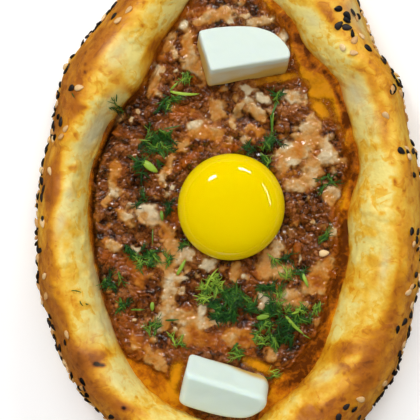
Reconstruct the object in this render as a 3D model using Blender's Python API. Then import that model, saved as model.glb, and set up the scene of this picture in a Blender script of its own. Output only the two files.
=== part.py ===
"""A khachapuri: a boat of baked dough filled with mince and melted cheese.

On the filling lie an egg yolk and two pats of butter, and melted butter stands in pools
along the wall. Lengths are in metres, +Z is up and +Y runs along the boat. The origin is
at the middle of the underside. Each sub-part is one closed object.
"""

import math

import bmesh
import bpy
import numpy as np
from mathutils import Vector, noise

MM = 0.001

# Driving dimensions.
LENGTH = 242 * MM
WIDTH = 145.7 * MM
RIM_HEIGHT = 32 * MM
DOUGH_FLOOR = 6 * MM
FILLING_LEVEL = 17.5 * MM
POOL_LEVEL = 16.8 * MM
POOL_DEPTH = 2 * MM
YOLK_RADIUS = 19.9 * MM
YOLK_ABOVE = 11.2 * MM
YOLK_BELOW = 4.8 * MM
YOLK_MIDDLE = (0.7 * MM, -3.1 * MM, 19.2 * MM)
PAT_THICKNESS = 14 * MM
PAT_SOFTENING = 1.5 * MM

# Clearances, how far a cutter passes what it cuts, and facet counts.
GAP = 0.35 * MM
PAST = 8 * MM
AROUND = 112
UP_THE_RIM = 15
FILLING_RINGS = 7

# The boat seen from above, anticlockwise from its right side, in millimetres: where the
# rolled rim is widest, and its edge over the filling, at the same station along the rim.
STATIONS = (
    ((72.7, -2.0), (44.5, -3.0)),
    ((71.2, 12.0), (48.2, 9.0)),
    ((68.0, 25.0), (48.0, 21.0)),
    ((65.8, 37.0), (44.6, 33.0)),
    ((63.6, 46.0), (41.0, 43.5)),
    ((58.0, 54.0), (34.3, 51.0)),
    ((53.6, 63.0), (28.0, 58.0)),
    ((48.5, 76.0), (22.3, 68.0)),
    ((39.0, 92.0), (15.0, 75.3)),
    ((24.0, 106.0), (8.5, 80.0)),
    ((12.0, 116.0), (4.0, 82.3)),
    ((2.5, 121.5), (0.8, 82.8)),
    ((-6.5, 117.0), (-2.8, 82.2)),
    ((-15.5, 107.0), (-7.0, 80.0)),
    ((-27.0, 93.5), (-12.3, 76.5)),
    ((-41.8, 76.0), (-18.0, 69.3)),
    ((-51.4, 63.5), (-23.7, 61.2)),
    ((-59.0, 53.5), (-28.0, 53.0)),
    ((-63.5, 42.5), (-31.5, 43.8)),
    ((-65.8, 32.0), (-40.3, 34.4)),
    ((-68.3, 20.5), (-47.2, 21.8)),
    ((-70.8, 9.0), (-51.0, 10.0)),
    ((-72.3, -4.5), (-52.0, -4.5)),
    ((-72.8, -18.0), (-50.9, -18.8)),
    ((-71.5, -32.0), (-48.0, -32.6)),
    ((-68.4, -44.5), (-44.4, -44.9)),
    ((-64.3, -57.0), (-39.3, -57.2)),
    ((-57.2, -70.0), (-31.5, -68.0)),
    ((-47.3, -81.5), (-21.8, -76.2)),
    ((-33.0, -94.5), (-12.5, -80.8)),
    ((-18.5, -106.5), (-6.0, -83.0)),
    ((-6.5, -116.0), (-1.8, -85.0)),
    ((4.5, -120.5), (2.6, -85.6)),
    ((15.5, -115.8), (6.0, -84.7)),
    ((28.0, -106.0), (9.8, -82.6)),
    ((42.5, -94.0), (13.9, -79.0)),
    ((54.2, -79.5), (20.9, -72.6)),
    ((61.3, -67.5), (29.9, -64.8)),
    ((66.2, -55.5), (34.6, -56.5)),
    ((69.4, -44.5), (38.3, -45.8)),
    ((72.0, -32.0), (41.9, -32.9)),
    ((72.8, -19.0), (44.8, -19.0)),
)

# The rim's section from its foot over the crest to the wall above the filling: the share
# of the rim's width from the outside, and the share of its height.
RIM_SECTION = (
    (0.16, 0.00),
    (0.05, 0.06),
    (0.00, 0.20),
    (0.03, 0.42),
    (0.12, 0.70),
    (0.27, 0.92),
    (0.45, 1.00),
    (0.64, 0.97),
    (0.82, 0.85),
    (0.95, 0.68),
    (1.00, 0.50),
)

# A pat of butter: its outline around its middle, in millimetres, where its middle lies, how
# it leans about X and Y and turns about Z, in degrees, and its middle's height over the filling.
TOP_PAT = {
    "outline": (
        (-16.4, 9.2),
        (-7.9, 9.2),
        (0.5, 8.4),
        (6.7, 6.8),
        (11.4, 3.5),
        (14.6, -0.8),
        (15.9, -4.8),
        (14.9, -7.0),
        (-14.9, -7.9),
    ),
    "middle": (5.8, 53.5),
    "turned": (-20, 8, 8.7),
    "over_filling": 3.2,
}
BOTTOM_PAT = {
    "outline": (
        (-16.3, 6.8),
        (13.6, 5.8),
        (15.8, 2.6),
        (15.4, -1.6),
        (10.6, -6.6),
        (2.6, -9.0),
        (-10.2, -9.4),
        (-15.6, -8.2),
    ),
    "middle": (-1.3, -70.2),
    "turned": (33, 2, -15.5),
    "over_filling": 2.9,
}

# A pool of melted butter along the wall: its first and last station, and its width in
# millimetres at even steps between them.
RIGHT_POOL = {"stations": (-3.9, 5.0), "widths": (6.0, 4.2, 3.2, 3.0, 3.4, 4.6, 6.5, 11.0, 5.5)}
LEFT_POOL = {"stations": (26.3, 28.4), "widths": (4.5, 8.5, 5.0)}


def spline(points, at, closed):
    """Returns the cubic spline through points, at positions counted in points."""
    points = np.asarray(points, float)
    flat = points.ndim == 1
    points = points.reshape(len(points), -1)
    count = len(points)
    system = 4 * np.eye(count) + np.eye(count, k=1) + np.eye(count, k=-1)
    change = 6 * (np.roll(points, -1, 0) - 2 * points + np.roll(points, 1, 0))
    if closed:
        system[0, -1] = system[-1, 0] = 1
    else:
        system[[0, -1]] = np.eye(count)[[0, -1]]
        change[[0, -1]] = 0
    bend = np.linalg.solve(system, change)
    low = np.floor(at).astype(int)
    if not closed:
        low = np.clip(low, 0, count - 2)
    part = (at - low)[:, None]
    here, ahead = low % count, (low + 1) % count
    rest = 1 - part
    curve = rest * points[here] + part * points[ahead]
    curve += ((rest**3 - rest) * bend[here] + (part**3 - part) * bend[ahead]) / 6
    return curve[:, 0] if flat else curve


def outlines(stations_at):
    """Returns the outer and inner outlines at these stations, scaled to LENGTH and WIDTH."""
    outer_points = np.array([station[0] for station in STATIONS])
    inner_points = np.array([station[1] for station in STATIONS])
    closely = np.linspace(0, len(STATIONS), 20 * len(STATIONS), endpoint=False)
    edge = spline(outer_points, closely, True)
    low, high = edge.min(0), edge.max(0)
    middle = (low + high) / 2
    scale = np.array([WIDTH, LENGTH]) / (high - low)
    return tuple(
        (spline(points, stations_at, True) - middle) * scale
        for points in (outer_points, inner_points)
    )


def on_ring(ring, share):
    """Returns points on a closed ring at these positions, counted in its points."""
    low = np.floor(share).astype(int)
    part = (share - low)[:, None]
    return ring[low % len(ring)] * (1 - part) + ring[(low + 1) % len(ring)] * part


def inset(outline, distance):
    """Returns a closed anticlockwise outline moved inwards by distance, a number or one each."""
    along = np.roll(outline, -1, 0) - np.roll(outline, 1, 0)
    along /= np.linalg.norm(along, axis=1)[:, None]
    inwards = np.column_stack((-along[:, 1], along[:, 0]))
    return outline + inwards * np.reshape(distance, (-1, 1))


def at_height(outline, height):
    """Returns an outline's points at a height, a number or one for each point."""
    return np.column_stack((outline, np.broadcast_to(height, len(outline))))


def crest_heights(stations_at):
    """Returns the rim's height at these stations: uneven, and lower at the pinched ends."""
    turn = 2 * math.pi * stations_at / len(STATIONS)
    uneven = 0.035 * np.sin(3 * turn + 0.6) + 0.025 * np.sin(7 * turn + 2.0)
    ends = np.abs(np.sin(turn)) ** 12
    return RIM_HEIGHT * (0.96 + uneven - 0.10 * ends)


def new_object(name, bm, finish):
    """Makes an object of a bmesh, shaded smooth except at sharp edges, with its material."""
    bmesh.ops.recalc_face_normals(bm, faces=bm.faces)
    mesh = bpy.data.meshes.new(name)
    bm.to_mesh(mesh)
    bm.free()
    mesh.shade_smooth()
    mesh.set_sharp_from_angle(angle=math.radians(50))
    mesh.materials.append(finish)
    made = bpy.data.objects.new(name, mesh)
    bpy.context.scene.collection.objects.link(made)
    return made


def material(name, colour, roughness):
    """Returns a Principled material of a linear colour and a roughness."""
    made = bpy.data.materials.new(name)
    made.use_nodes = True
    shader = made.node_tree.nodes["Principled BSDF"]
    shader.inputs["Base Color"].default_value = (*colour, 1)
    shader.inputs["Roughness"].default_value = roughness
    shader.inputs["Metallic"].default_value = 0
    return made


def loft(rings, apex=None):
    """Returns a bmesh of faces between closed rings, with flat caps, or a fan to an apex on top."""
    bm = bmesh.new()
    loops = [[bm.verts.new(point) for point in ring] for ring in rings]
    for lower, upper in zip(loops, loops[1:]):
        for i, corner in enumerate(lower):
            after = (i + 1) % len(lower)
            bm.faces.new((corner, lower[after], upper[after], upper[i]))
    bm.faces.new(loops[0][::-1])
    if apex is None:
        bm.faces.new(loops[-1])
        return bm
    top = bm.verts.new(apex)
    for i, corner in enumerate(loops[-1]):
        bm.faces.new((corner, loops[-1][(i + 1) % len(loops[-1])], top))
    return bm


def cut_out(body, *cutters):
    """Cuts the cutters' shapes out of a body, and leaves the cutters out of the model."""
    for cutter in cutters:
        cut = body.modifiers.new("room for " + cutter.name, "BOOLEAN")
        cut.operation = "DIFFERENCE"
        cut.object = cutter
        cutter.hide_render = True
        cutter.display_type = "WIRE"


def build_crust(stations_at):
    """The dough: a flat underside, a rolled rim around the boat, and a floor under the filling."""
    outer, inner = outlines(stations_at)
    crest = crest_heights(stations_at)
    steps = np.linspace(0, len(RIM_SECTION) - 1, UP_THE_RIM)
    section = spline(RIM_SECTION, steps, False)
    section[0, 1] = 0
    rings = [
        at_height(outer + (inner - outer) * across, crest * max(height, 0))
        for across, height in section
    ]
    rings.append(at_height(inner, DOUGH_FLOOR))
    return new_object("crust", loft(rings), material("baked_dough", (0.62, 0.33, 0.09), 0.5))


def filling_height(x, y):
    """The filling's uneven top: higher in the middle of the boat, with lumps of mince."""
    dome = 1.4 * MM * (1 - min(1, (x / (50 * MM)) ** 2 + (y / (85 * MM)) ** 2))
    lumps = 1.1 * MM * noise.noise(Vector((x, y, 0)) / (11 * MM))
    return FILLING_LEVEL + dome + lumps


def build_filling(stations_at):
    """The mince and cheese as one body: flat below, with an uneven top."""
    wall = inset(outlines(stations_at)[1], GAP)
    top_rings = []
    for share in np.linspace(1, 0, FILLING_RINGS, endpoint=False):
        ring = wall * share
        top_rings.append(at_height(ring, [filling_height(x, y) for x, y in ring]))
    base = at_height(wall, DOUGH_FLOOR + GAP)
    apex = (0, 0, filling_height(0, 0))
    bm = loft([base, *top_rings], apex)
    return new_object("filling", bm, material("mince_and_cheese", (0.24, 0.075, 0.028), 0.4))


def yolk_body(name, grow, finish):
    """An egg yolk lying on the filling: domed above its widest line and flatter below."""
    bm = bmesh.new()
    bmesh.ops.create_uvsphere(bm, u_segments=36, v_segments=14, radius=1)
    for vertex in bm.verts:
        tall = YOLK_ABOVE if vertex.co.z > 0 else YOLK_BELOW
        vertex.co.x *= YOLK_RADIUS + grow
        vertex.co.y *= YOLK_RADIUS + grow
        vertex.co.z *= tall + grow
    made = new_object(name, bm, finish)
    made.location = YOLK_MIDDLE
    return made


def pat_body(name, pat, grow, finish):
    """A pat of butter: its outline drawn up to its thickness with softened edges, then leaned."""
    corners = np.array(pat["outline"][::-1]) * MM
    after = np.roll(corners, -1, 0)
    softened = np.stack((0.78 * corners + 0.22 * after, 0.22 * corners + 0.78 * after), 1)
    edge = softened.reshape(-1, 2)
    rings = []
    for side, angle in ((-1, 90), (-1, 45), (-1, 0), (1, 0), (1, 45), (1, 90)):
        turn = math.radians(angle)
        level = PAT_THICKNESS / 2 - PAT_SOFTENING + (PAT_SOFTENING + grow) * math.sin(turn)
        distance = PAT_SOFTENING - (PAT_SOFTENING + grow) * math.cos(turn)
        rings.append(at_height(inset(edge, distance), side * level))
    made = new_object(name, loft(rings), finish)
    x, y = (value * MM for value in pat["middle"])
    made.location = (x, y, FILLING_LEVEL + pat["over_filling"] * MM)
    made.rotation_euler = [math.radians(angle) for angle in pat["turned"]]
    return made


def pool_body(name, pool, grow, finish):
    """A pool of melted butter: a strip along the wall with a flat top, or its cutter if it grows."""
    first, last = pool["stations"]
    at = np.linspace(first, last, round(4 * (last - first)) + 1)
    widths = spline(pool["widths"], np.linspace(0, len(pool["widths"]) - 1, len(at)), False)
    if grow:
        at = np.concatenate(([first - 0.15], at, [last + 0.15]))
        widths = np.concatenate((widths[:1], widths, widths[-1:]))
    inner = outlines(np.linspace(0, len(STATIONS), 1200, endpoint=False))[1]
    share = at / len(STATIONS) * len(inner)
    wall = on_ring(inner, share)
    inwards = on_ring(inset(inner, 1), share) - wall
    wall_side = wall + inwards * (2 * GAP - 3 * grow)
    filling_side = wall + inwards * (widths[:, None] * MM + grow)
    edge = np.concatenate((wall_side, filling_side[::-1]))
    top = POOL_LEVEL + (PAST if grow else 0)
    bm = loft([at_height(edge, POOL_LEVEL - POOL_DEPTH - grow), at_height(edge, top)])
    return new_object(name, bm, finish)


def main():
    """Builds every sub-part."""
    for old in list(bpy.data.objects):
        bpy.data.objects.remove(old)
    stations_at = np.linspace(0, len(STATIONS), AROUND, endpoint=False)
    build_crust(stations_at)
    filling = build_filling(stations_at)
    yolk_yellow = material("egg_yolk", (0.84, 0.62, 0.005), 0.12)
    butter_white = material("butter", (0.83, 0.84, 0.74), 0.35)
    amber = material("melted_butter", (0.60, 0.24, 0.01), 0.08)
    yolk_body("egg_yolk", 0, yolk_yellow)
    cutters = [yolk_body("yolk_room", GAP, yolk_yellow)]
    for name, pat in (("butter_pat_top", TOP_PAT), ("butter_pat_bottom", BOTTOM_PAT)):
        pat_body(name, pat, 0, butter_white)
        cutters.append(pat_body(name + "_room", pat, GAP, butter_white))
    pat_room = cutters[-1]
    for name, pool in (("butter_pool_right", RIGHT_POOL), ("butter_pool_left", LEFT_POOL)):
        poured = pool_body(name, pool, 0, amber)
        cutters.append(pool_body(name + "_room", pool, GAP, amber))
    cut_out(poured, pat_room)
    cut_out(filling, *cutters)


main()
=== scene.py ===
"""The looks of a khachapuri: a baked boat of dough, mince and melted cheese, an egg yolk, butter and dill.

Every piece is worked out as arrays in metres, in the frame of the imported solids: +Z up, +Y along
the boat, the origin in the middle of its underside. The rim's shape comes from the same stations
as the solids', and each piece takes the place of the solid that it stands for.
"""

from __future__ import annotations

import itertools
import logging
import math
from dataclasses import dataclass
from enum import Enum
from typing import Any, Mapping, Sequence, Union

import bpy
import mathutils
import numpy as np
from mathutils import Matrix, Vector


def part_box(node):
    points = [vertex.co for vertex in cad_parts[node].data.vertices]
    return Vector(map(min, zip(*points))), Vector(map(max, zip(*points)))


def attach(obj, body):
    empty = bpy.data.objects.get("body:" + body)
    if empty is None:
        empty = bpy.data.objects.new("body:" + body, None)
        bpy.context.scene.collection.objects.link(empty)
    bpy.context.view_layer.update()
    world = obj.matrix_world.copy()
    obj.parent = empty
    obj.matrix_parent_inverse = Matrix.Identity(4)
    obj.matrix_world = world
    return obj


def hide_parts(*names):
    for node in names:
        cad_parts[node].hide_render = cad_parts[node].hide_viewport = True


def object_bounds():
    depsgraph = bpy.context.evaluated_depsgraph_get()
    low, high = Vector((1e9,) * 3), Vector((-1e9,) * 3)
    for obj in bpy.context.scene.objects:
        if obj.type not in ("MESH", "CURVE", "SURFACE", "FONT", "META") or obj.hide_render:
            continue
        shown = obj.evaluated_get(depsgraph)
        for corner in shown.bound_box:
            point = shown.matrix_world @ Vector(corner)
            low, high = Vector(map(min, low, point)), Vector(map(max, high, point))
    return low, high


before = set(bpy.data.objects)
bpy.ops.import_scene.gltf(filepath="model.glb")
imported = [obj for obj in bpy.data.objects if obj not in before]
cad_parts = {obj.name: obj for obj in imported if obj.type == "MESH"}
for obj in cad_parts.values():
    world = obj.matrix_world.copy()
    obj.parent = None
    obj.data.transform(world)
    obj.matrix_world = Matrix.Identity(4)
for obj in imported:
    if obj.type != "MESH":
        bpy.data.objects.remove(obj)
SOLID_BOX = [list(corner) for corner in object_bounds()]

Array = np.ndarray
Colour = tuple[float, float, float]
Shell = tuple[Array, Array, Array]
Table = tuple[tuple[float, ...], ...]
MM = 0.001
UP = (0.0, 0.0, 1.0)
YOLK_BOWL = 4.8 * MM
LOG = logging.getLogger("khachapuri")

# Round the boat, anticlockwise from its right side, in mm: where the rolled rim is widest, and
# its edge over the filling, at the same station.
STATIONS: Table = (
    (72.7, -2, 44.5, -3), (71.2, 12, 48.2, 9), (68, 25, 48, 21), (65.8, 37, 44.6, 33), (63.6, 46, 41, 43.5),
    (58, 54, 34.3, 51), (53.6, 63, 28, 58), (48.5, 76, 22.3, 68), (39, 92, 15, 75.3), (24, 106, 8.5, 80),
    (12, 116, 4, 82.3), (2.5, 121.5, 0.8, 82.8), (-6.5, 117, -2.8, 82.2), (-15.5, 107, -7, 80),
    (-27, 93.5, -12.3, 76.5), (-41.8, 76, -18, 69.3), (-51.4, 63.5, -23.7, 61.2), (-59, 53.5, -28, 53),
    (-63.5, 42.5, -31.5, 43.8), (-65.8, 32, -40.3, 34.4), (-68.3, 20.5, -47.2, 21.8), (-70.8, 9, -51, 10),
    (-72.3, -4.5, -52, -4.5), (-72.8, -18, -50.9, -18.8), (-71.5, -32, -48, -32.6),
    (-68.4, -44.5, -44.4, -44.9), (-64.3, -57, -39.3, -57.2), (-57.2, -70, -31.5, -68),
    (-47.3, -81.5, -21.8, -76.2), (-33, -94.5, -12.5, -80.8), (-18.5, -106.5, -6, -83),
    (-6.5, -116, -1.8, -85), (4.5, -120.5, 2.6, -85.6), (15.5, -115.8, 6, -84.7), (28, -106, 9.8, -82.6),
    (42.5, -94, 13.9, -79), (54.2, -79.5, 20.9, -72.6), (61.3, -67.5, 29.9, -64.8),
    (66.2, -55.5, 34.6, -56.5), (69.4, -44.5, 38.3, -45.8), (72, -32, 41.9, -32.9), (72.8, -19, 44.8, -19),
)

# The rim's section from its foot over the crest to the filling: the share of its width from the
# outside, and the share of its height.
RIM_SECTION: Table = (
    (0.16, 0), (0.05, 0.06), (0, 0.2), (0.03, 0.42), (0.12, 0.7), (0.27, 0.92), (0.45, 1), (0.64, 0.97),
    (0.82, 0.85), (0.95, 0.68), (1, 0.5),
)


# ---- Curves, random relief and grids ----


class Curve:
    """A cubic spline through points, whose position is counted in points from the first."""

    def __init__(self, points: Any, closed: bool) -> None:
        """Works out the bend at each point, so that slope and bend run on through it.

        Args:
            points: the points, one row each.
            closed: whether the last point runs on to the first.
        """
        self.points, self.closed = np.array(points, float), closed
        count = len(self.points)
        system = 4 * np.eye(count) + np.eye(count, k=1) + np.eye(count, k=-1)
        change = np.roll(self.points, -1, 0) - 2 * self.points + np.roll(self.points, 1, 0)
        if closed:
            system[0, -1] = system[-1, 0] = 1
        else:
            system[[0, -1]] = np.eye(count)[[0, -1]]
            change[[0, -1]] = 0
        self.bends = np.linalg.solve(system, 6 * change)

    def __call__(self, at: Array) -> Array:
        """Finds points of the curve.

        Args:
            at: their positions, counted in points from the first.

        Returns:
            The points, one row each.
        """
        count = len(self.points)
        low = np.floor(at).astype(int)
        if not self.closed:
            low = np.clip(low, 0, count - 2)
        part = (at - low)[..., None]
        rest = 1 - part
        here, ahead = low % count, (low + 1) % count
        curve = rest * self.points[here] + part * self.points[ahead]
        bent = (rest**3 - rest) * self.bends[here] + (part**3 - part) * self.bends[ahead]
        return curve + bent / 6


def eased(value: Array, low: float, high: float) -> Array:
    """Returns 0 below low and 1 above high, with a smooth S between them."""
    share = np.clip((value - low) / (high - low), 0, 1)
    return share * share * (3 - 2 * share)


def scrambled(cells: Array, seed: int) -> Array:
    """Gives each cell of a lattice its own random number from 0 to 1.

    The cell's three whole numbers are multiplied by large primes, joined and mixed by shifts.

    Args:
        cells: whole numbers, three to a cell.
        seed: chooses the set of random numbers.

    Returns:
        One number for each cell.
    """
    mixed = cells.astype(np.int64) * np.array((73856093, 19349663, 83492791))
    mixed = (mixed[..., 0] ^ mixed[..., 1] ^ mixed[..., 2]) + seed * 2654435761
    mixed = (mixed & 0xFFFFFFFF).astype(np.uint64)
    for shift, factor in ((16, 0x45D9F3B), (15, 0x2C1B3C6D), (16, 1)):
        mixed = ((mixed ^ (mixed >> np.uint64(shift))) * np.uint64(factor)) & np.uint64(0xFFFFFFFF)
    return mixed.astype(float) / 2**32


def waves(points: Array, size: float, seed: int, octaves: int = 1) -> Array:
    """Smooth random relief, from about -1 to 1.

    Each corner of a lattice has a random slope. A point blends the heights that the eight slopes
    round it give there. Each further octave adds the same at half the size and half the height.

    Args:
        points: the places, three coordinates each.
        size: the lattice's spacing, which is about the width of a swelling.
        seed: chooses the relief.
        octaves: how many sizes are added up.

    Returns:
        One height for each point.
    """
    total = np.zeros(points.shape[:-1])
    for octave in range(octaves):
        scaled = points * (2**octave / size)
        cell = np.floor(scaled).astype(np.int64)
        part = scaled - cell
        ease = part**3 * (part * (part * 6 - 15) + 10)
        for corner in itertools.product((0, 1), repeat=3):
            slopes = [scrambled(cell + corner, seed + 7 * octave + axis) for axis in range(3)]
            weight = np.prod(np.where(corner, ease, 1 - ease), -1)
            height = ((part - corner) * (np.stack(slopes, -1) * 2 - 1)).sum(-1)
            total += weight * height * (1.7 / 2**octave)
    return total


def pebbles(points: Array, size: float, seed: int) -> tuple[Array, Array]:
    """Random round lumps side by side: half a ball on the nearest of scattered middles, 0 between two.

    Args:
        points: the places, three coordinates each, with the last all alike on a plane.
        size: the lattice's spacing, with one lump to a cell.
        seed: chooses the lumps.

    Returns:
        The height from 0 to 1 at each point, and a random number from 0 to 1 for its lump.
    """
    scaled = points / size
    cell = np.floor(scaled).astype(np.int64)
    nearest, second = np.full((2, *points.shape[:-1]), np.inf)
    name = np.zeros(points.shape[:-1])
    for offset in itertools.product((-1, 0, 1), repeat=3):
        near = cell + offset
        middle = near + np.stack([scrambled(near, seed + axis) for axis in range(3)], -1)
        away = ((scaled - middle) ** 2).sum(-1)
        closer = away < nearest
        second = np.where(closer, nearest, np.minimum(second, away))
        name = np.where(closer, scrambled(near, seed + 5), name)
        nearest = np.where(closer, away, nearest)
    rise = np.clip(np.sqrt(second) - np.sqrt(nearest), 0, 1)
    return np.sqrt(1 - (1 - np.minimum(1, rise * 1.6)) ** 2), name


def on_plane(x: Array, y: Array) -> Array:
    """Returns these places as points at height 0."""
    return np.stack((x, y, np.zeros_like(x)), -1)


def lifted(plan: Array, height: Array) -> Array:
    """Returns points of the plan at these heights."""
    return np.concatenate((plan[..., :2], height[..., None]), -1)


def shares(first: float, last: float, count: int) -> Array:
    """Returns evenly spaced shares, one for each row of a grid of points."""
    return np.linspace(first, last, count)[:, None, None]


def oval(plan: Array, east: float, north: float, length: float, width: float, slant: float) -> Array:
    """A soft oval on the plan: a bell along its length times a bell across its width.

    Args:
        plan: the places, in metres.
        east, north: the oval's middle, in mm.
        length, width: its half length and half width, in mm.
        slant: the turn of its length from east, in degrees.

    Returns:
        The share at each place, 1 in the oval's middle.
    """
    turn = math.radians(slant)
    right, up = plan[..., 0] / MM - east, plan[..., 1] / MM - north
    along = (right * math.cos(turn) + up * math.sin(turn)) / length
    across = (up * math.cos(turn) - right * math.sin(turn)) / width
    return np.exp(-(along**2) - across**2)


def painted(ovals: Table, plan: Array) -> Array:
    """Returns the sum of soft ovals at each place. Each row is an oval's five numbers and its strength."""
    return sum((strength * oval(plan, *shape) for *shape, strength in ovals), np.zeros(plan.shape[:-1]))


def around(bands: Table, station: Array, column: int = 1) -> Array:
    """Returns a column of the bands at these stations, in a straight line from one band to the next."""
    table = np.array(bands)
    return np.interp(station, table[:, 0], table[:, column], period=len(STATIONS))


def unit(vectors: Array, least: float = 1e-12) -> Array:
    """Returns the vectors at length 1, safe where one is 0."""
    return vectors / np.maximum(np.linalg.norm(vectors, axis=-1, keepdims=True), least)


def normals_of(grid: Array) -> Array:
    """Returns the outward unit normals of a grid of points whose columns close on themselves."""
    along = np.roll(grid, -1, 1) - np.roll(grid, 1, 1)
    return unit(np.cross(along, np.gradient(grid, axis=0)))


def ball(rows: int, columns: int) -> Array:
    """A unit ball as a grid: circles of latitude from its lower end up, without the two poles.

    Args:
        rows: how many circles there are.
        columns: how many points go round each.

    Returns:
        The points, of shape (rows, columns, 3).
    """
    tilt = np.linspace(-0.5, 0.5, rows + 2)[1:-1, None] * math.pi
    turn = np.linspace(0, 2 * math.pi, columns, endpoint=False)[None]
    height = np.broadcast_to(np.sin(tilt), (rows, columns))
    return np.stack((np.cos(tilt) * np.cos(turn), np.cos(tilt) * np.sin(turn), height), -1)


def placed(local: Array, up: Array, heading: Array, middles: Array) -> Array:
    """Turns grids of points and moves them to their middles.

    Args:
        local: the grids, each in its own axes.
        up: the direction of each one's third axis.
        heading: the direction near which its first axis lies.
        middles: where each one's origin goes.

    Returns:
        The grids in the boat's axes.
    """
    up = up / np.linalg.norm(up, axis=-1, keepdims=True)
    side = unit(np.cross(up, heading), 1e-9)
    axes = np.stack((np.cross(side, up), side, up), -1)
    return np.einsum("nij,nrcj->nrci", axes, local) + middles[:, None, None]


def tubes(paths: Array, radii: Array, sides: int, flat: float = 1.0) -> Array:
    """Rings of points round paths, one ring at each of a path's points.

    Args:
        paths: the middle lines, of shape (tubes, points, 3).
        radii: the radius at each point.
        sides: how many points go round.
        flat: the thickness as a share of the width.

    Returns:
        The grids, of shape (tubes, points, sides, 3).
    """
    along = unit(np.gradient(paths, axis=1))
    side = unit(np.cross(along, UP), 1e-9)
    over = np.cross(side, along)
    turn = np.linspace(0, 2 * math.pi, sides, endpoint=False)[:, None]
    ring = np.cos(turn) * side[:, :, None] - flat * np.sin(turn) * over[:, :, None]
    return paths[:, :, None] + ring * radii[..., None, None]


def closed_shell(grids: Array) -> Shell:
    """Closes grids of points into shells: columns wrap round, and a pole shuts each end.

    Args:
        grids: points of shape (shells, rows, columns, 3), from the lower end up, anticlockwise.

    Returns:
        The points, the corner numbers of the quads, and those of the triangles round the poles.
    """
    count, rows, columns, _ = grids.shape
    size = rows * columns + 2
    poles = np.stack((grids[:, 0].mean(1), grids[:, -1].mean(1)), 1)
    points = np.concatenate((grids.reshape(count, -1, 3), poles), 1).reshape(-1, 3)
    number = np.arange(rows * columns).reshape(rows, columns)
    after = np.roll(number, -1, 1)
    quads = np.stack((number[:-1], after[:-1], after[1:], number[1:]), -1).reshape(-1, 4)
    low_fan = np.stack((np.full(columns, size - 2), after[0], number[0]), -1)
    high_fan = np.stack((np.full(columns, size - 1), number[-1], after[-1]), -1)
    fans = np.concatenate((low_fan, high_fan))
    starts = (np.arange(count) * size)[:, None, None]
    return points, (quads + starts).reshape(-1, 4), (fans + starts).reshape(-1, 3)


def spread(values: Array) -> Array:
    """Returns a grid's values with those of its two poles added, in closed_shell's order."""
    return np.concatenate((values.ravel(), (values[0].mean(), values[-1].mean())))


def sheet(top: Array, floor: float) -> Shell:
    """Closes a grid of points that faces up into a solid: a skirt at its edge goes down to a floor.

    Args:
        top: points of shape (rows, columns, 3), with rows going north and columns east.
        floor: the height of the underside.

    Returns:
        The points, the corner numbers of the quads, and those of the triangles.
    """
    rows, columns = top.shape[:2]
    number = np.arange(rows * columns).reshape(rows, columns)
    quads = np.stack((number[:-1, :-1], number[:-1, 1:], number[1:, 1:], number[1:, :-1]), -1).reshape(-1, 4)
    edge = np.concatenate((number[0, :-1], number[:-1, -1], number[-1, :0:-1], number[:0:-1, 0]))
    points = top.reshape(-1, 3)
    sunk = points[edge] * (1, 1, 0) + (0, 0, floor)
    low = np.arange(len(edge)) + len(points)
    after = np.roll(low, -1)
    skirt = np.stack((low, after, np.roll(edge, -1), edge), -1)
    pole = np.full(len(edge), len(points) + len(edge))
    points = np.concatenate((points, sunk, sunk.mean(0)[None]))
    return points, np.concatenate((quads, skirt)), np.stack((pole, after, low), -1)


# ---- Materials ----

Feed = Union["Value", float, Sequence[float]]


def srgb(red: float, green: float, blue: float) -> Colour:
    """Returns the linear colour of display values from 0 to 255."""
    share = np.array((red, green, blue)) / 255
    return tuple(np.where(share <= 0.04045, share / 12.92, ((share + 0.055) / 1.055) ** 2.4).tolist())


class Value:
    """What a shader socket gives. Arithmetic on it adds Math nodes to its material."""

    def __init__(self, paint: "Paint", socket: bpy.types.NodeSocket) -> None:
        """Wraps a socket of a material that is being built."""
        self.paint = paint
        self.socket = socket

    def math(self, operation: str, first: Feed, second: Feed) -> "Value":
        """Returns the result of a Math node on two values."""
        return self.paint.node("ShaderNodeMath", {"operation": operation}, {0: first, 1: second})

    def __add__(self, other: Feed) -> "Value":
        """Returns self + other."""
        return self.math("ADD", self, other)

    def __sub__(self, other: Feed) -> "Value":
        """Returns self - other."""
        return self.math("SUBTRACT", self, other)

    def __rsub__(self, other: Feed) -> "Value":
        """Returns other - self."""
        return self.math("SUBTRACT", other, self)

    def __mul__(self, other: Feed) -> "Value":
        """Returns self * other."""
        return self.math("MULTIPLY", self, other)

    __radd__ = __add__
    __rmul__ = __mul__

    def eased(self, low: float, high: float) -> "Value":
        """Returns 0 below low and 1 above high, with a smooth S between them."""
        limits = {"Value": self, "From Min": low, "From Max": high}
        return self.paint.node("ShaderNodeMapRange", {"interpolation_type": "SMOOTHSTEP"}, limits)


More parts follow.
